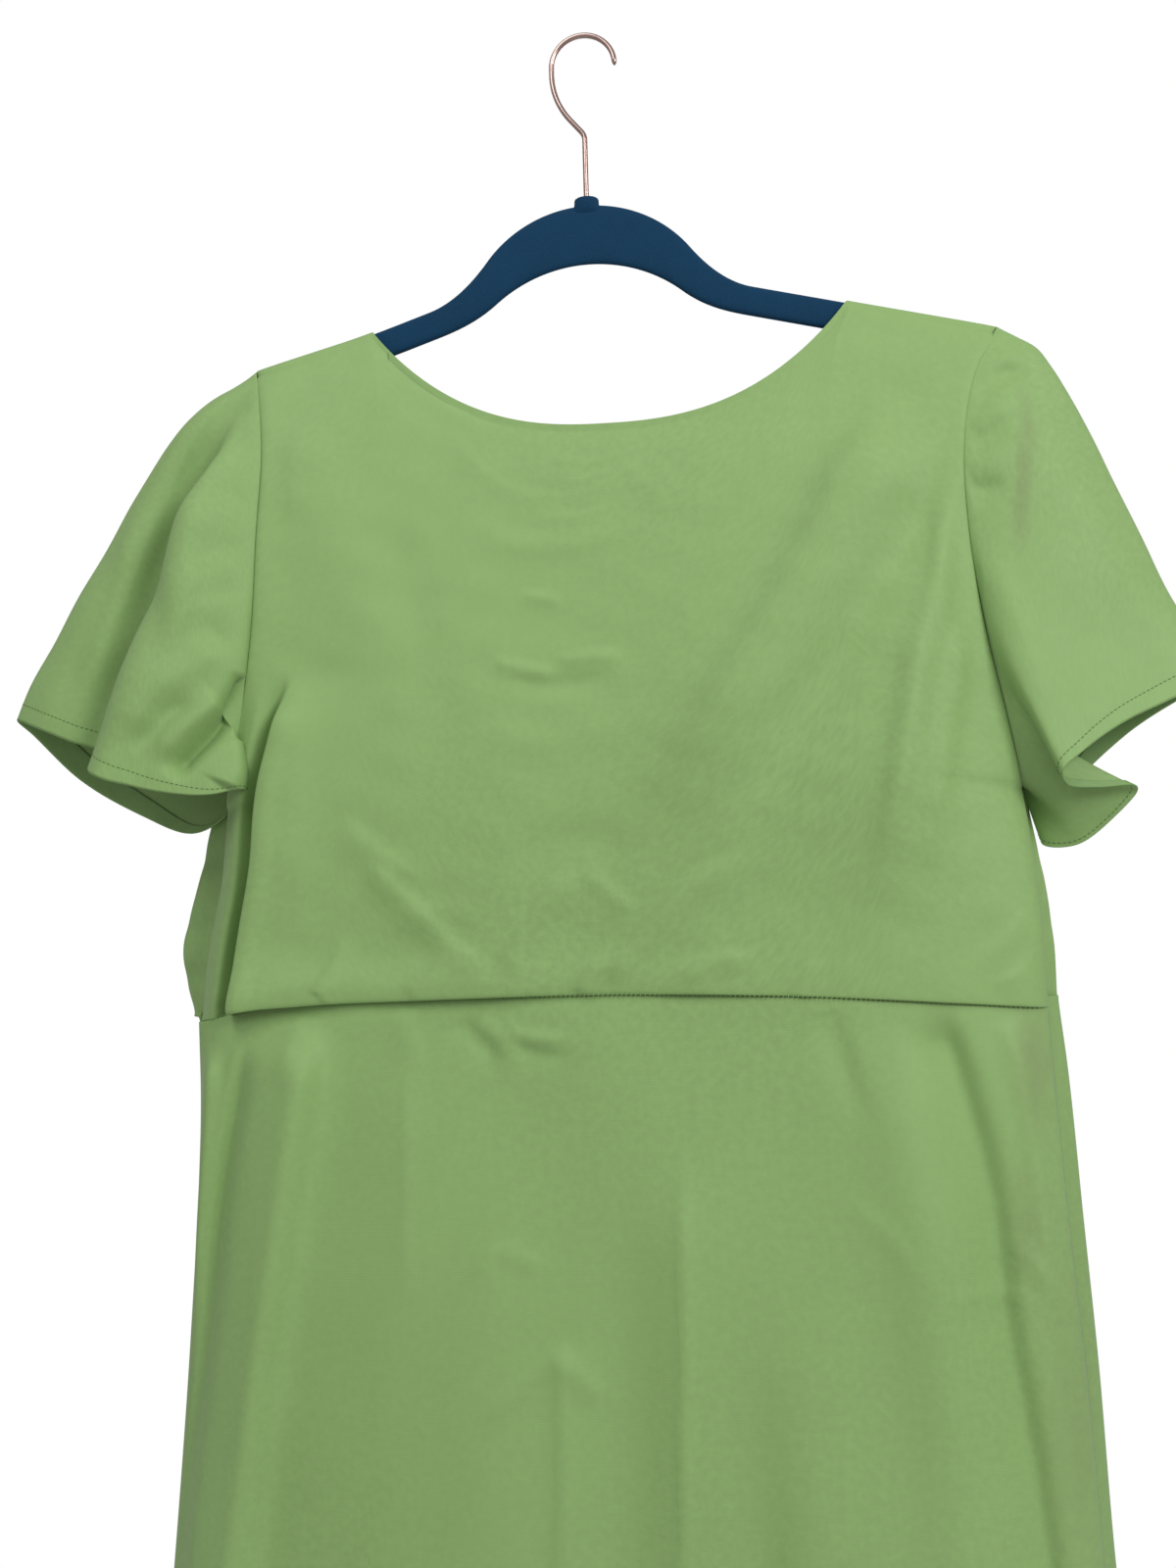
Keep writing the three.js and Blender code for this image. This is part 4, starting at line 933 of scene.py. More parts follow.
def satin(name, colour, roughness=0.58, marks=(), uv=True, dull=0.0):
    """Satin: the weave and its bump from the cloth's own distances, slow drift, and soft marks."""
    m, tree, shader = material(name)
    place = node(tree, "ShaderNodeTexCoord")
    at = place.outputs["UV"] if uv else place.outputs["Object"]
    weave = node(tree, "ShaderNodeGroup", node_tree=bpy.data.node_groups["sateen weave"])
    wear = node(tree, "ShaderNodeGroup", node_tree=bpy.data.node_groups["cloth wear"])
    wire(tree, (at, weave.inputs["Vector"]), (place.outputs["Object"], wear.inputs["Vector"]))
    base = linear(colour)
    deep = tuple(c * 0.90 for c in base[:3]) + (1.0,)
    pale = tuple(min(1, c * 1.10) for c in base[:3]) + (1.0,)
    tone = mixed(tree, scaled(tree, wear.outputs["Drift"], -0.4, 1.4), deep, pale)
    tone = mixed(tree, scaled(tree, weave.outputs["Mask"], -0.9, 1.7), tone, pale)
    tone = mixed(tree, scaled(tree, wear.outputs["Mottle"], -0.15, 0.42), tone, deep)
    tone = mixed(tree, scaled(tree, weave.outputs["Streak"], -0.1, 0.5), tone, pale)
    soil = linear((120, 118, 88))
    for centre, stretch, strength in marks:
        spot = node(tree, "ShaderNodeGroup", node_tree=bpy.data.node_groups["soft mark"])
        spot.inputs["Centre"].default_value = centre
        spot.inputs["Stretch"].default_value = stretch
        wire(tree, (place.outputs["Object"], spot.inputs["Vector"]))
        tone = mixed(tree, scaled(tree, spot.outputs["Mask"], 0.0, strength), tone, soil)
    wire(tree, (tone, shader.inputs["Base Color"]),
         (scaled(tree, wear.outputs["Mottle"], roughness - 0.06, roughness + 0.06),
          shader.inputs["Roughness"]))
    bump = node(tree, "ShaderNodeBump", in_Strength=0.25, in_Distance=0.00012)
    wire(tree, (weave.outputs["Height"], bump.inputs["Height"]),
         (bump.outputs["Normal"], shader.inputs["Normal"]))
    shader.inputs["Sheen Weight"].default_value = 0.10
    shader.inputs["Sheen Roughness"].default_value = 0.45
    shader.inputs["Specular IOR Level"].default_value = 0.34 * (1 - dull)
    return m


def flock(name, colour):
    """Dark velvet flock: a short nap that scatters light at grazing angles, rubbed paler in soft patches,
    with painted shade that darkens it towards its outline.
    """
    m, tree, shader = material(name)
    place = node(tree, "ShaderNodeTexCoord")
    nap = node(tree, "ShaderNodeTexNoise", in_Scale=1500.0, in_Detail=3.0)
    rub = node(tree, "ShaderNodeTexNoise", in_Scale=26.0, in_Detail=4.0, in_Roughness=0.55)
    edge = node(tree, "ShaderNodeLayerWeight", in_Blend=0.35)
    wire(tree, (place.outputs["Object"], nap.inputs["Vector"]),
         (place.outputs["Object"], rub.inputs["Vector"]))
    base = linear(colour)
    pale = linear(tuple(min(255, c * 1.35 + 12) for c in colour))
    dark = tuple(c * 0.72 for c in base[:3]) + (1.0,)
    tone = mixed(tree, scaled(tree, rub.outputs["Fac"], -0.4, 1.3), dark, base)
    tone = mixed(tree, scaled(tree, nap.outputs["Fac"], -0.2, 0.5), tone, pale)
    # painted shade: the colour darkens where the surface turns away from view, along the bar's outline
    tone = mixed(tree, scaled(tree, edge.outputs["Facing"], 0.0, 0.5), tone, dark)
    bump = node(tree, "ShaderNodeBump", in_Strength=0.5, in_Distance=0.0003)
    wire(tree, (tone, shader.inputs["Base Color"]), (nap.outputs["Fac"], bump.inputs["Height"]),
         (bump.outputs["Normal"], shader.inputs["Normal"]))
    wire(tree, (scaled(tree, rub.outputs["Fac"], 0.86, 1.0), shader.inputs["Roughness"]))
    shader.inputs["Sheen Weight"].default_value = 0.35
    shader.inputs["Sheen Roughness"].default_value = 0.5
    shader.inputs["Sheen Tint"].default_value = linear((90, 130, 165))
    shader.inputs["Specular IOR Level"].default_value = 0.1
    return m


def plated(name, colour):
    """Rose-tinted plated steel with faint drawing lines and a few dull patches."""
    m, tree, shader = material(name)
    place = node(tree, "ShaderNodeTexCoord")
    haze = node(tree, "ShaderNodeTexNoise", in_Scale=140.0, in_Detail=5.0)
    fine = node(tree, "ShaderNodeTexNoise", in_Scale=2600.0, in_Detail=2.0)
    wire(tree, (place.outputs["Object"], haze.inputs["Vector"]),
         (place.outputs["Object"], fine.inputs["Vector"]))
    base = linear(colour)
    worn = tuple(c * 0.7 for c in base[:3]) + (1.0,)
    bump = node(tree, "ShaderNodeBump", in_Strength=0.12, in_Distance=0.0001)
    wire(tree, (mixed(tree, scaled(tree, haze.outputs["Fac"], -0.5, 1.1), base, worn),
                shader.inputs["Base Color"]),
         (scaled(tree, haze.outputs["Fac"], 0.08, 0.30), shader.inputs["Roughness"]),
         (fine.outputs["Fac"], bump.inputs["Height"]), (bump.outputs["Normal"], shader.inputs["Normal"]))
    shader.inputs["Metallic"].default_value = 1.0
    return m


def thread(name, colour):
    """Twisted sewing thread."""
    m, tree, shader = material(name)
    place = node(tree, "ShaderNodeTexCoord")
    twist = node(tree, "ShaderNodeTexWave", in_Scale=900.0, in_Distortion=1.0)
    wire(tree, (place.outputs["Object"], twist.inputs["Vector"]))
    base = linear(colour)
    dark = tuple(c * 0.75 for c in base[:3]) + (1.0,)
    bump = node(tree, "ShaderNodeBump", in_Strength=0.4, in_Distance=0.0001)
    wire(tree, (mixed(tree, twist.outputs["Fac"], dark, base), shader.inputs["Base Color"]),
         (scaled(tree, twist.outputs["Fac"], 0.5, 0.7), shader.inputs["Roughness"]),
         (twist.outputs["Fac"], bump.inputs["Height"]), (bump.outputs["Normal"], shader.inputs["Normal"]))
    return m


def woven_label(name, colour):
    """A plain woven tape with no print."""
    m, tree, shader = material(name)
    place = node(tree, "ShaderNodeTexCoord")
    weave = node(tree, "ShaderNodeGroup", node_tree=bpy.data.node_groups["sateen weave"])
    weave.inputs["Pitch"].default_value = 0.0009
    wire(tree, (place.outputs["Object"], weave.inputs["Vector"]))
    base = linear(colour)
    dark = tuple(c * 0.88 for c in base[:3]) + (1.0,)
    bump = node(tree, "ShaderNodeBump", in_Strength=0.5, in_Distance=0.0002)
    wire(tree, (mixed(tree, scaled(tree, weave.outputs["Height"], 0, 0.6), base, dark),
                shader.inputs["Base Color"]),
         (scaled(tree, weave.outputs["Mask"], 0.55, 0.8), shader.inputs["Roughness"]),
         (weave.outputs["Height"], bump.inputs["Height"]),
         (bump.outputs["Normal"], shader.inputs["Normal"]))
    return m


def dress(piece, *materials):
    """Puts the materials on a piece."""
    piece.data.materials.clear()
    for m in materials:
        piece.data.materials.append(m)
    return piece


def cloth_piece(name, P, cloth, look, turn=False, closed=False):
    """A sheet of cloth from a grid of points: its mesh, its material and its thickness."""
    piece = new_piece(name, P, grid_faces(*P.shape[:2], closed=closed), cloth_uv(P), turn=turn)
    return thicken(dress(piece, bpy.data.materials[look]), cloth)


def recolour(node_name, m):
    """Gives a carried-over part its material."""
    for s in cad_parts[node_name].material_slots:
        s.material = m


# ---- Settings ------------------------------------------------------------------------------


def colour_setting(label, about, rgb):
    """A colour property from screen values of 0 to 255."""
    return bpy.props.FloatVectorProperty(name=label, description=about, subtype="COLOR_GAMMA", size=3,
                                         min=0, max=1, default=tuple(c / 255 for c in rgb))


class GownSizes(bpy.types.PropertyGroup):
    cloth: bpy.props.FloatProperty(name="Cloth", description="Thickness of the satin", default=0.0005,
                                   min=0.0002, max=0.001, unit="LENGTH", precision=5)
    stitch: bpy.props.FloatProperty(name="Stitch", description="Length of one hem stitch", default=0.0026,
                                    min=0.001, max=0.006, unit="LENGTH", precision=5)
    hem_line: bpy.props.FloatProperty(name="Hem stitching",
                                      description="Distance from a sleeve's edge to its stitching",
                                      default=0.008, min=0.003, max=0.02, unit="LENGTH", precision=4)
    skirt_hem: bpy.props.FloatProperty(name="Skirt hem", description="Depth of the turned hem of the skirt",
                                       default=0.02, min=0.005, max=0.04, unit="LENGTH", precision=4)
    wire: bpy.props.FloatProperty(name="Hook wire", description="Diameter of the hook's wire",
                                  default=0.0036, min=0.002, max=0.006, unit="LENGTH", precision=4)


class GownColours(bpy.types.PropertyGroup):
    satin: colour_setting("Satin", "The gown's cloth", (137, 170, 104))
    # painted shade: the facing colour is the satin made darker and greener, the shade that falls inside the
    # gown painted onto its facings, hems, tapes and bindings
    trim: colour_setting("Facing", "Facings, hems and seam tapes", (124, 158, 96))
    flock: colour_setting("Hanger flock", "The hanger's velvet", (20, 56, 84))
    hook: colour_setting("Hook", "The hook's plating", (188, 160, 152))
    thread: colour_setting("Thread", "Hem and seam stitching", (92, 122, 66))
    label: colour_setting("Labels", "The blank labels", (241, 239, 232))


def colours():
    """The colour settings as screen values of 0 to 255."""
    c = bpy.context.scene.gown_colours
    return {k: tuple(v * 255 for v in getattr(c, k))
            for k in ("satin", "trim", "flock", "hook", "thread", "label")}


# ---- Operators -----------------------------------------------------------------------------


class GOWN_OT_materials(bpy.types.Operator):
    """Make the node groups and materials that the pieces share"""

    bl_idname = "gown.materials"
    bl_label = "Materials"

    def execute(self, context):
        sateen_group()
        wear_group()
        mark_group()
        c = colours()
        satin("satin bodice", c["satin"])
        satin("satin skirt", c["satin"], marks=MARKS["skirt"])
        satin("satin sleeve", c["satin"], marks=MARKS["sleeve"])
        # the facing and tape satins are shaded copies of the satin: painted shade in their colour, and less
        # gloss
        satin("shaded satin facing", c["trim"], roughness=0.5, dull=0.3)
        satin("shaded satin tape", c["trim"], roughness=0.55, uv=False, dull=0.5)
        flock("hanger flock", c["flock"])
        plated("plated wire", c["hook"])
        thread("seam thread", c["thread"])
        thread("pale thread", tuple(min(255, v * 1.12) for v in c["satin"]))
        woven_label("woven label", c["label"])
        return {"FINISHED"}


class GOWN_OT_hook(bpy.types.Operator):
    """Make the hook: a smooth round wire from the hanger's boss to its rounded tip"""

    bl_idname = "gown.hook"
    bl_label = "Hook"

    def execute(self, context):
        r = context.scene.gown_sizes.wire / MM / 2
        crook, turn = 19.5 + r, math.radians(40)
        slant = (crook - 59 * (1 - math.cos(turn))) / math.sin(turn)

        def arc(cx, cz, radius, a, b, n):
            t = np.radians(np.linspace(a, b, n))
            return np.stack([cx + radius * np.cos(t), np.zeros(n), cz + radius * np.sin(t)], 1)

        stem = np.stack([np.zeros(14), np.zeros(14), np.linspace(-127.8, -71, 14)], 1)[:-1]
        bend = arc(-9, -71, 9, 0, 40, 10)
        low = bend[-1]
        high = low + np.array([-slant * math.sin(turn), 0, slant * math.cos(turn)])
        throat = arc(high[0] + 50 * math.cos(turn), high[2] + 50 * math.sin(turn), 50, 220, 180, 16)
        crook_arc = arc(0, -19.5, crook, 180, -3, 70)
        path = np.vstack([stem, bend, np.linspace(low, high, 6)[1:-1], throat, crook_arc[1:]])
        radius = np.full(len(path), r)
        radius[-4:] = r * np.array([0.98, 0.9, 0.7, 0.35])
        radius[:2] = r * np.array([0.5, 0.9])
        piece = dress(bar("rail_hook_wire", *tube(path, radius, 24)), bpy.data.materials["plated wire"])
        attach(piece, "hook")
        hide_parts("hook_wire")
        recolour("hook_swage", bpy.data.materials["plated wire"])
        return {"FINISHED"}


class GOWN_OT_hanger(bpy.types.Operator):
    """Make the flocked hanger: an oval bar whose upper and lower edges follow the arch and arms"""

    bl_idname = "gown.hanger"
    bl_label = "Hanger"

    def execute(self, context):
        half = 222.0
        s = np.linspace(-1, 1, 361)
        X = half * np.sin(s * math.pi / 2 * 0.999) * 0.12 + half * s * 0.88
        top, low = arm_top(X), arm_low(X)
        end = np.clip((half - np.abs(X)) / 7.0, 0, 1)
        shrink = np.sqrt(np.maximum(0, 1 - (1 - end) ** 2))
        mid, tall = (top + low) / 2, (top - low) / 2 * np.maximum(shrink, 0.02)
        thick = 3.5 * np.maximum(shrink, 0.02) ** 0.7
        a = np.arange(BAR_SIDES) * 2 * math.pi / BAR_SIDES
        c, w = np.cos(a), np.sin(a)
        up = np.sign(w) * np.abs(w) ** 0.55
        out = np.sign(c) * np.abs(c) ** 0.7
        P = np.stack([
            np.broadcast_to(X[:, None], (len(X), BAR_SIDES)),
            thick[:, None] * out[None],
            mid[:, None] + tall[:, None] * up[None],
        ], -1)
        points = np.vstack([P.reshape(-1, 3), P[0].mean(0)[None], P[-1].mean(0)[None]])
        faces = grid_faces(len(X), BAR_SIDES, closed=True).tolist() + end_caps(len(X), BAR_SIDES)
        piece = bar("flocked_hanger", points, faces)
        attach(dress(piece, bpy.data.materials["hanger flock"]), GOWN)
        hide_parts("hanger_body")
        # the boss: an oval collar that flares into the arch, with a rounded rim and the bore
        rings = np.array([(2.2, 1.0, -127), (2.25, 1.0, -112.2), (2.6, 1.0, -111.6), (6.9, 0.72, -111.7),
                          (7.8, 0.7, -112.3), (8.2, 0.68, -113.4), (8.3, 0.67, -116), (8.9, 0.6, -118.4),
                          (10.5, 0.42, -120.6), (12.5, 0.27, -121.8), (12.4, 0.2, -124)])
        half_width, squash, height = rings[:, :1], rings[:, 1:2], rings[:, 2:]
        t = np.arange(BOSS_SIDES) * 2 * math.pi / BOSS_SIDES
        level = np.broadcast_to(height, (len(rings), BOSS_SIDES))
        P = np.stack([half_width * np.cos(t), half_width * squash * np.sin(t), level], -1)
        collar = new_piece("hanger_boss_collar", P, grid_faces(len(rings), BOSS_SIDES, closed=True))
        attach(dress(collar, bpy.data.materials["hanger flock"]), GOWN)
        return {"FINISHED"}


class GOWN_OT_bodice(bpy.types.Operator):
    """Make the back and front of the bodice, with their folds, and the facings inside the neck"""

    bl_idname = "gown.bodice"
    bl_label = "Bodice"

    def execute(self, context):
        cloth = context.scene.gown_sizes.cloth / MM
        for face, name in ((BACK, "back"), (FRONT, "front")):
            P = bodice_points(face)
            piece = cloth_piece(f"bodice_{name}_cloth", P, cloth, "satin bodice", turn=face == BACK)
            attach(piece, GOWN)
            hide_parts(f"bodice_{name}")
            self.facing(face, name, cloth)
        return {"FINISHED"}

    def facing(self, face, name, cloth):
        """A band 47 mm deep inside the neck; on the back's left half its edge rolls out past the cloth."""
        a = np.linspace(-0.615, 0.615, 220)
        v = np.linspace(0, 1, 26)
        A, V = np.meshgrid(a, v)
        P, gap = bodice_surface(face, A, 0 * A, np.full(A.shape, math.pi / 2))
        X = P[..., 0]
        reach = neckline(face, X) - ARM_ROLL - through(X, WAIST_LINE)
        down = (FACING_DEPTH * V) / reach
        P, gap = bodice_surface(face, A, down, np.full(A.shape, math.pi / 2))
        P = with_folds(face, P, gap)
        rise = (through(X, [(-160, 6.0), (-120, 5.2), (-80, 3.4), (-40, 2.2), (20, 1.7), (170, 1.2)])
                if face == BACK else 1.0)
        P[..., 2] += rise * (1 - smooth(V, 0, 0.3))
        P[..., 1] -= face * (1.1 - 0.4 * (1 - smooth(V, 0, 0.08)))
        piece = cloth_piece(f"neck_facing_{name}_cloth", P, cloth, "shaded satin facing", turn=face == BACK)
        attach(piece, GOWN)
        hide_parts(f"neck_facing_{name}")


class GOWN_OT_sleeves(bpy.types.Operator):
    """Make both short sleeves with their gathered heads, folded hems and hem stitching"""

    bl_idname = "gown.sleeves"
    bl_label = "Sleeves"

    def execute(self, context):
        sizes = context.scene.gown_sizes
        cloth = sizes.cloth / MM
        for side, name in ((LEFT, "left"), (RIGHT, "right")):
            t = np.linspace(0, 1, 261)[:-1]
            s = np.r_[np.linspace(0, 0.2, 40)[:-1], np.linspace(0.2, 0.93, 90)[:-1],
                      np.linspace(0.93, 1, 14)]
            T, S = np.meshgrid(t, s)
            P = sleeve_points(side, T, S)
            turn = self.is_inside_out(P)
            piece = cloth_piece(f"sleeve_{name}_cloth", P, cloth, "satin sleeve", turn=turn, closed=True)
            body = f"sleeve_{name}"
            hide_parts(body)
            n = normals_of(P) * (-1 if turn else 1)
            band = self.hem(name, P, n, cloth, turn)
            row = self.stitching(name, P, n, sizes)
            for each in (piece, band, row):
                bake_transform(each)
        return {"FINISHED"}

    @staticmethod
    def is_inside_out(P):
        """Whether the grid's own normals point into the tube."""
        n = np.cross(np.roll(P, -1, 1) - P, np.gradient(P, axis=0))
        centre = P.mean(axis=1, keepdims=True)
        return bool(np.sum(n * (P - centre)) < 0)

    def hem(self, name, P, n, cloth, turn):
        """The turned hem: a second layer inside the last 12 mm, closed to the edge by a small roll."""
        rows = P[-13:]
        inward = -n[-13:] * (cloth + 0.25)
        Q = rows + inward
        edge = rows[-1:] + inward[-1:] / 2 + (rows[-1:] - rows[-2:-1]) * 0.25
        ring = np.concatenate([Q, edge, rows[-1:]], 0)
        band = cloth_piece(f"sleeve_hem_{name}_cloth", ring, cloth * 0.9, "shaded satin facing", turn=turn,
                           closed=True)
        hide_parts(f"sleeve_hem_{name}")
        return band

    def stitching(self, name, P, n, sizes):
        """Stitches in a line round the hem, on the outside of the cloth."""
        s_rows = np.cumsum(np.linalg.norm(np.diff(P[-16:], axis=0), axis=2).mean(1)[::-1])
        k = -1 - int(np.searchsorted(s_rows, sizes.hem_line / MM))
        line, up = P[k], n[k]
        closed = np.vstack([line, line[:1]])
        step = sizes.stitch / MM * STITCH_PITCH
        places, ways = spread(closed, step)
        s = np.r_[0, np.cumsum(np.linalg.norm(np.diff(closed, axis=0), axis=1))]
        at = np.arange(step / 2, s[-1], step)
        ups = np.stack([np.interp(at, s, np.vstack([up, up[:1]])[:, j]) for j in range(3)], 1)
        row = stitches(f"sleeve_stitching_{name}", places + ups * 0.25, ways, ups, sizes.stitch / MM, 0.55)
        dress(row, bpy.data.materials["seam thread"])
        return row


class GOWN_OT_skirt(bpy.types.Operator):
    """Make the skirt's two panels with their cones and pressed creases, and the turned hems"""

    bl_idname = "gown.skirt"
    bl_label = "Skirt"

    def execute(self, context):
        sizes = context.scene.gown_sizes
        cloth = sizes.cloth / MM
        for face, name in ((BACK, "back"), (FRONT, "front")):
            P = skirt_points(face)
            piece = cloth_piece(f"skirt_{name}_cloth", P, cloth, "satin skirt", turn=face == BACK)
            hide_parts(f"skirt_{name}")
            n = normals_of(P) * (-1 if face == BACK else 1)
            rows = P[-5:]
            Q = rows - n[-5:] * (cloth + 0.25)
            Q[..., 2] = np.maximum(Q[..., 2], HEM_Z)
            hem = cloth_piece(f"skirt_hem_{name}_cloth", Q, cloth, "shaded satin facing", turn=face == BACK)
            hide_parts(f"skirt_hem_{name}")
            places, ways = spread(P[-5], sizes.stitch / MM * 1.3)
            ups = np.repeat(np.array([[0, face, 0]], float), len(places), 0)
            line = stitches(f"skirt_stitching_{name}", places + ups * 0.25, ways, ups,
                            sizes.stitch / MM, 0.5)
            dress(line, bpy.data.materials["seam thread"])
            for each in (piece, hem, line):
                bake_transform(each)
        return {"FINISHED"}


class GOWN_OT_seams(bpy.types.Operator):
    """Make the waist seam's ladder stitches, the tapes inside, and the side seams"""

    bl_idname = "gown.seams"
    bl_label = "Seams and tapes"

    def execute(self, context):
        cloth = context.scene.gown_sizes.cloth / MM
        self.waist_tapes(cloth)
        self.ladder()
        self.side_strips(cloth)
        self.bindings(cloth)
        return {"FINISHED"}

    def waist_tapes(self, cloth):
        """A 10 mm tape sewn inside the bodice's lower edge."""
        for face, name in ((BACK, "back"), (FRONT, "front")):
            a = np.linspace(-0.97, 0.97, 180)
            v = np.linspace(0, 1, 7)
            A, V = np.meshgrid(a, v)
            D = 1 - (2.0 + 10 * (1 - V)) / PANEL_DROP
            P, gap = bodice_surface(face, A, D, np.full(A.shape, math.pi / 2))
            P = with_folds(face, P, gap)
            P[..., 1] -= face * 3.9
            piece = cloth_piece(f"waist_stay_{name}_tape", P, cloth, "shaded satin facing", turn=face == BACK)
            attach(piece, GOWN)
            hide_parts(f"waist_stay_{name}")

    def ladder(self):
        """Short upright stitches that bridge the waist seam, clearest on the right half of the back."""
        x = np.arange(-250, 268, 2.9)
        z = through(x, WAIST_LINE)
        share = (x - 4) / 269
        y = -46.3 * np.sqrt(np.maximum(0, 1 - np.abs(share) ** 4.5)) - 12 * np.abs(share) ** 9
        places = np.stack([x, y, z], 1)
        ways = np.repeat([[0.25, -0.15, 1.0]], len(x), 0)
        ups = np.repeat([[0.0, -1.0, 0.0]], len(x), 0)
        row = stitches("waist_ladder_stitching", places, ways, ups, 2.6, 0.5)
        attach(dress(row, bpy.data.materials["pale thread"]), GOWN)

    def side_strips(self, cloth):
        """Seam allowances, 9 mm wide, that lie inside along each side of the bodice and the skirt."""
        for side, name in ((LEFT, "left"), (RIGHT, "right")):
            w = np.linspace(0, 1, 5)
            z = np.linspace(UNDERARM_Z - 10, WAIST_Z + 13, 40)
            edge = edge_point(BACK, side, z)
            W, E = w[None, :, None], edge[:, None]
            mirror = np.array([-side, 1, 1])
            P = E + mirror * SEAM_INSET + W * (mirror * SEAM_ALLOWANCE)
            piece = cloth_piece(f"bodice_side_seam_{name}_tape", P, cloth, "shaded satin facing")
            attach(piece, GOWN)
            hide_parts(f"bodice_side_seam_{name}")
            z = np.linspace(WAIST_Z - 10, HEM_Z + 24, 150)
            x = through(z, SKIRT_LEFT_SEAM if side == LEFT else SKIRT_RIGHT_SEAM)
            edge = np.stack([x, np.full_like(x, SEAM_OUT), z], 1)
            P = edge[:, None] + mirror * SEAM_INSET + W * (mirror * SEAM_ALLOWANCE)
            piece = cloth_piece(f"skirt_side_seam_{name}_tape", P, cloth, "shaded satin facing")
            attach(piece, "skirt")
            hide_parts(f"skirt_side_seam_{name}")

    def bindings(self, cloth):
        """A bias binding, 8 mm wide, inside each armhole."""
        for side, name in ((LEFT, "left"), (RIGHT, "right")):
            t = np.linspace(0, 1, 121)[:-1]
            share = (1 - np.cos(2 * math.pi * t)) / 2
            tip = ARM_EDGE_Z[side]
            z = tip - 9 + (UNDERARM_Z + 14 - tip) * share
            face = np.where(t < 0.5, -1, 1)
            x = through(z, EDGE_X[side])
            y = through(z, EDGE_Y[side]) + face * (armhole_out(side, z) - 2.2)
            w = np.linspace(0, 1, 4)[:, None]
            P = np.stack([x - side * (1.5 + 8 * w), y * (1 - 0.12 * w),
                          np.broadcast_to(z, (4, len(z)))], -1)
            piece = new_piece(f"armhole_binding_{name}_tape", P, grid_faces(4, len(t), closed=True),
                              cloth_uv(P))
            thicken(dress(piece, bpy.data.materials["shaded satin facing"]), cloth)
            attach(piece, GOWN)
            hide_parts(f"armhole_binding_{name}")


class GOWN_OT_labels(bpy.types.Operator):
    """Make the blank labels and the four tack stitches that hold the neck label"""

    bl_idname = "gown.labels"
    bl_label = "Labels"

    def execute(self, context):
        tape = bpy.data.materials["woven label"]
        x = np.linspace(-7, 43, 30)
        v = np.linspace(0.004, 0.045, 12)
        X, V = np.meshgrid(x, v)
        P, gap = bodice_surface(BACK, (X - 11) / 240, V, np.full(X.shape, math.pi / 2))
        P[..., 0] = X
        P = with_folds(BACK, P, gap)
        P[..., 1] += 3.0 + 0.5 * np.sin(X * 0.12)
        neck = new_piece("neck_label_tape", P, grid_faces(12, 30), cloth_uv(P), turn=True)
        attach(dress(thicken(neck, 0.4), tape), GOWN)
        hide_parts("neck_label")
        w, d = np.meshgrid(np.linspace(0, 28, 16), np.linspace(0, 48, 24))
        P = np.stack([-262 + w, -6 + 1.5 * np.sin(w * 0.18) + 2.0 * np.sin(d * 0.07),
                      -750 - d + 0.04 * w], -1)
        care = new_piece("care_label_tape", P, grid_faces(24, 16), cloth_uv(P))
        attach(dress(thicken(care, 0.4), tape), "skirt")
        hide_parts("care_label")
        corners = np.array([(-5, -279.5), (43, -278.5), (-9, -296), (41, -295)])
        y = -19.8 - (corners[:, 1] + 279) * -0.07
        places = np.stack([corners[:, 0], y, corners[:, 1]], 1)
        ways = np.array([[0.2, 0, 1.0], [1.0, 0, 0.2], [0.3, 0, 1], [1.0, 0, -0.3]])
        ups = np.repeat([[0.0, -1.0, 0.0]], 4, 0)
        row = stitches("label_tack_stitches", places, ways, ups, 2.4, 0.6)
        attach(dress(row, bpy.data.materials["pale thread"]), GOWN)
        return {"FINISHED"}


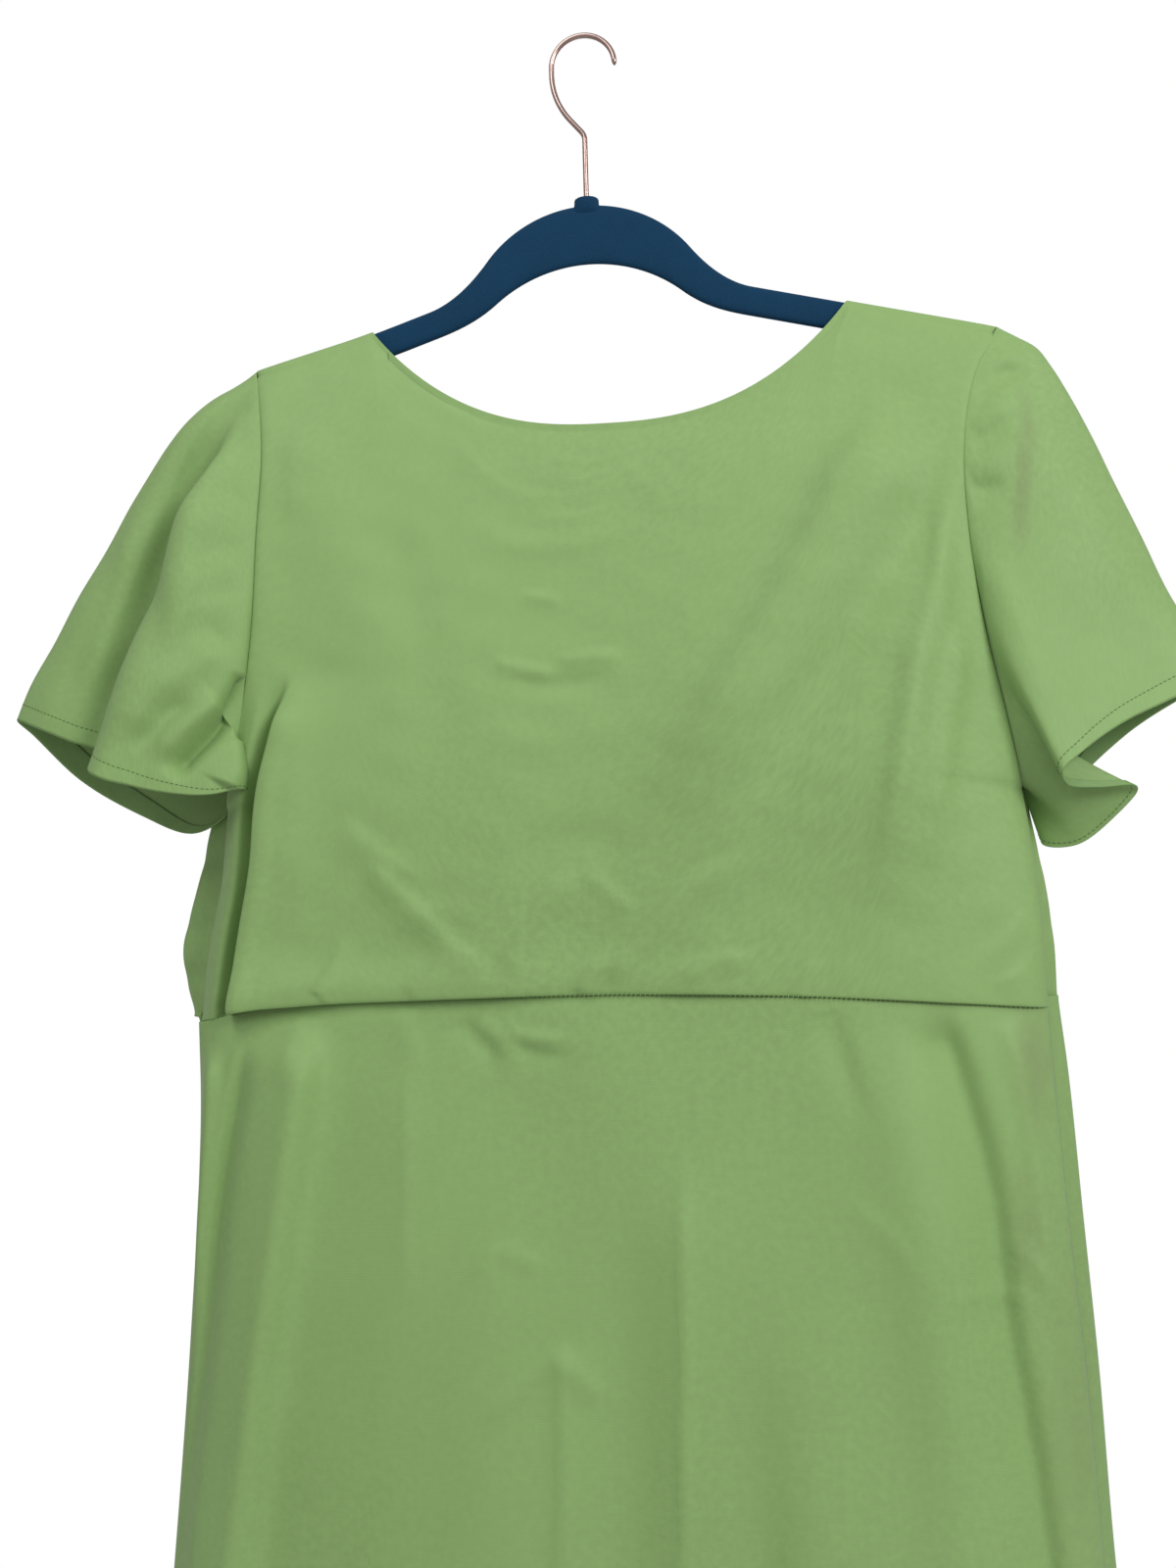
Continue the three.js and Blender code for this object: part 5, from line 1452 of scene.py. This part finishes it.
class GOWN_OT_stage(bpy.types.Operator):
    """Set the camera, the soft lights, the white surround and the pale floor"""

    bl_idname = "gown.stage"
    bl_label = "Stage"

    def execute(self, context):
        scene = context.scene
        turn, rise, roll = math.radians(7.0), math.radians(-4.5), math.radians(-1.5)
        back = np.array([math.sin(turn) * math.cos(rise), -math.cos(turn) * math.cos(rise), math.sin(rise)])
        place = np.array([-0.00925, 0, -0.50306]) + 1.075 * back
        right = np.cross(-back, [0, 0, 1.0])
        right /= np.linalg.norm(right)
        up = np.cross(right, -back)
        r2 = math.cos(roll) * right + math.sin(roll) * up
        u2 = -math.sin(roll) * right + math.cos(roll) * up
        data = bpy.data.cameras.new("camera")
        data.lens, data.sensor_width, data.sensor_fit = 38, 36, "AUTO"
        camera = bpy.data.objects.new("camera", data)
        m = Matrix.Identity(4)
        for i in range(3):
            m[i][0], m[i][1], m[i][2], m[i][3] = r2[i], u2[i], back[i], place[i]
        camera.matrix_world = m
        scene.collection.objects.link(camera)
        scene.camera = camera
        scene.view_settings.view_transform = "Standard"
        self.light("key", (1.9, -2.0, 0.55), (0, 0, -0.6), 1.2, 41)
        self.light("front", (-0.5, -1.3, 1.0), (0, 0, -0.3), 1.1, 12)
        self.light("rim", (0.4, 1.8, 0.6), (0, 0, -0.6), 1.2, 8)
        world = bpy.data.worlds.new("surround")
        scene.world = world
        world.use_nodes = True
        tree = world.node_tree
        tree.nodes.clear()
        seen = node(tree, "ShaderNodeBackground", in_Strength=1.0)
        seen.inputs["Color"].default_value = (1, 1, 1, 1)
        lit = node(tree, "ShaderNodeBackground", in_Strength=0.4)
        lit.inputs["Color"].default_value = (1, 1, 1, 1)
        ray = node(tree, "ShaderNodeLightPath")
        pick = node(tree, "ShaderNodeMixShader")
        out = node(tree, "ShaderNodeOutputWorld")
        wire(tree, (ray.outputs["Is Camera Ray"], pick.inputs["Fac"]), (lit.outputs[0], pick.inputs[1]),
             (seen.outputs[0], pick.inputs[2]),
             (pick.outputs[0], out.inputs["Surface"]))
        self.floor()
        return {"FINISHED"}

    def light(self, name, place, aim, size, power):
        """A round soft light at a place, turned to its aim."""
        data = bpy.data.lights.new(name, "AREA")
        data.shape, data.size, data.energy = "DISK", size, power
        lamp = bpy.data.objects.new(name, data)
        lamp.location = place
        lamp.rotation_euler = (Vector(place) - Vector(aim)).to_track_quat("Z", "Y").to_euler()
        bpy.context.scene.collection.objects.link(lamp)

    def floor(self):
        """A thin round floor below the hem."""
        r = np.array([0, 300, 600, 900, 1050, 1058, 1060])[:, None]
        t = np.arange(96) * 2 * math.pi / 96
        z = np.array([0, 0, 0, 0, 0, -2, -6])[:, None] + HEM_Z - 250
        P = np.stack([r * np.cos(t), r * np.sin(t), np.broadcast_to(z, (7, 96))], -1)
        floor = new_piece("floor", P, grid_faces(7, 96, closed=True))
        m, _, shader = material("pale floor")
        shader.inputs["Base Color"].default_value = (0.86, 0.86, 0.85, 1)
        shader.inputs["Roughness"].default_value = 0.8
        dress(floor, m)


class GOWN_PT_panel(bpy.types.Panel):
    """Lists the gown's sizes, colours and pieces"""

    bl_label = "Gown"
    bl_idname = "GOWN_PT_panel"
    bl_space_type = "VIEW_3D"
    bl_region_type = "UI"
    bl_category = "Gown"

    def draw(self, context):
        for group_ in (context.scene.gown_sizes, context.scene.gown_colours):
            for key in group_.bl_rna.properties.keys():
                if key not in ("rna_type", "name"):
                    self.layout.prop(group_, key)
        for op in OPERATORS:
            self.layout.operator(op.bl_idname)


OPERATORS = (GOWN_OT_materials, GOWN_OT_hook, GOWN_OT_hanger, GOWN_OT_bodice, GOWN_OT_sleeves,
             GOWN_OT_skirt,
             GOWN_OT_seams, GOWN_OT_labels, GOWN_OT_stage)
CLASSES = (GownSizes, GownColours) + OPERATORS + (GOWN_PT_panel,)


def register():
    """Adds the settings, operators and panel."""
    for c in CLASSES:
        bpy.utils.register_class(c)
    bpy.types.Scene.gown_sizes = bpy.props.PointerProperty(type=GownSizes)
    bpy.types.Scene.gown_colours = bpy.props.PointerProperty(type=GownColours)


def unregister():
    """Takes them away again."""
    del bpy.types.Scene.gown_sizes
    del bpy.types.Scene.gown_colours
    for c in reversed(CLASSES):
        bpy.utils.unregister_class(c)


def main():
    register()
    bpy.ops.gown.materials()
    bpy.ops.gown.hook()
    bpy.ops.gown.hanger()
    bpy.ops.gown.bodice()
    bpy.ops.gown.sleeves()
    bpy.ops.gown.skirt()
    bpy.ops.gown.seams()
    bpy.ops.gown.labels()
    bpy.ops.gown.stage()


if __name__ == "__main__":
    main()
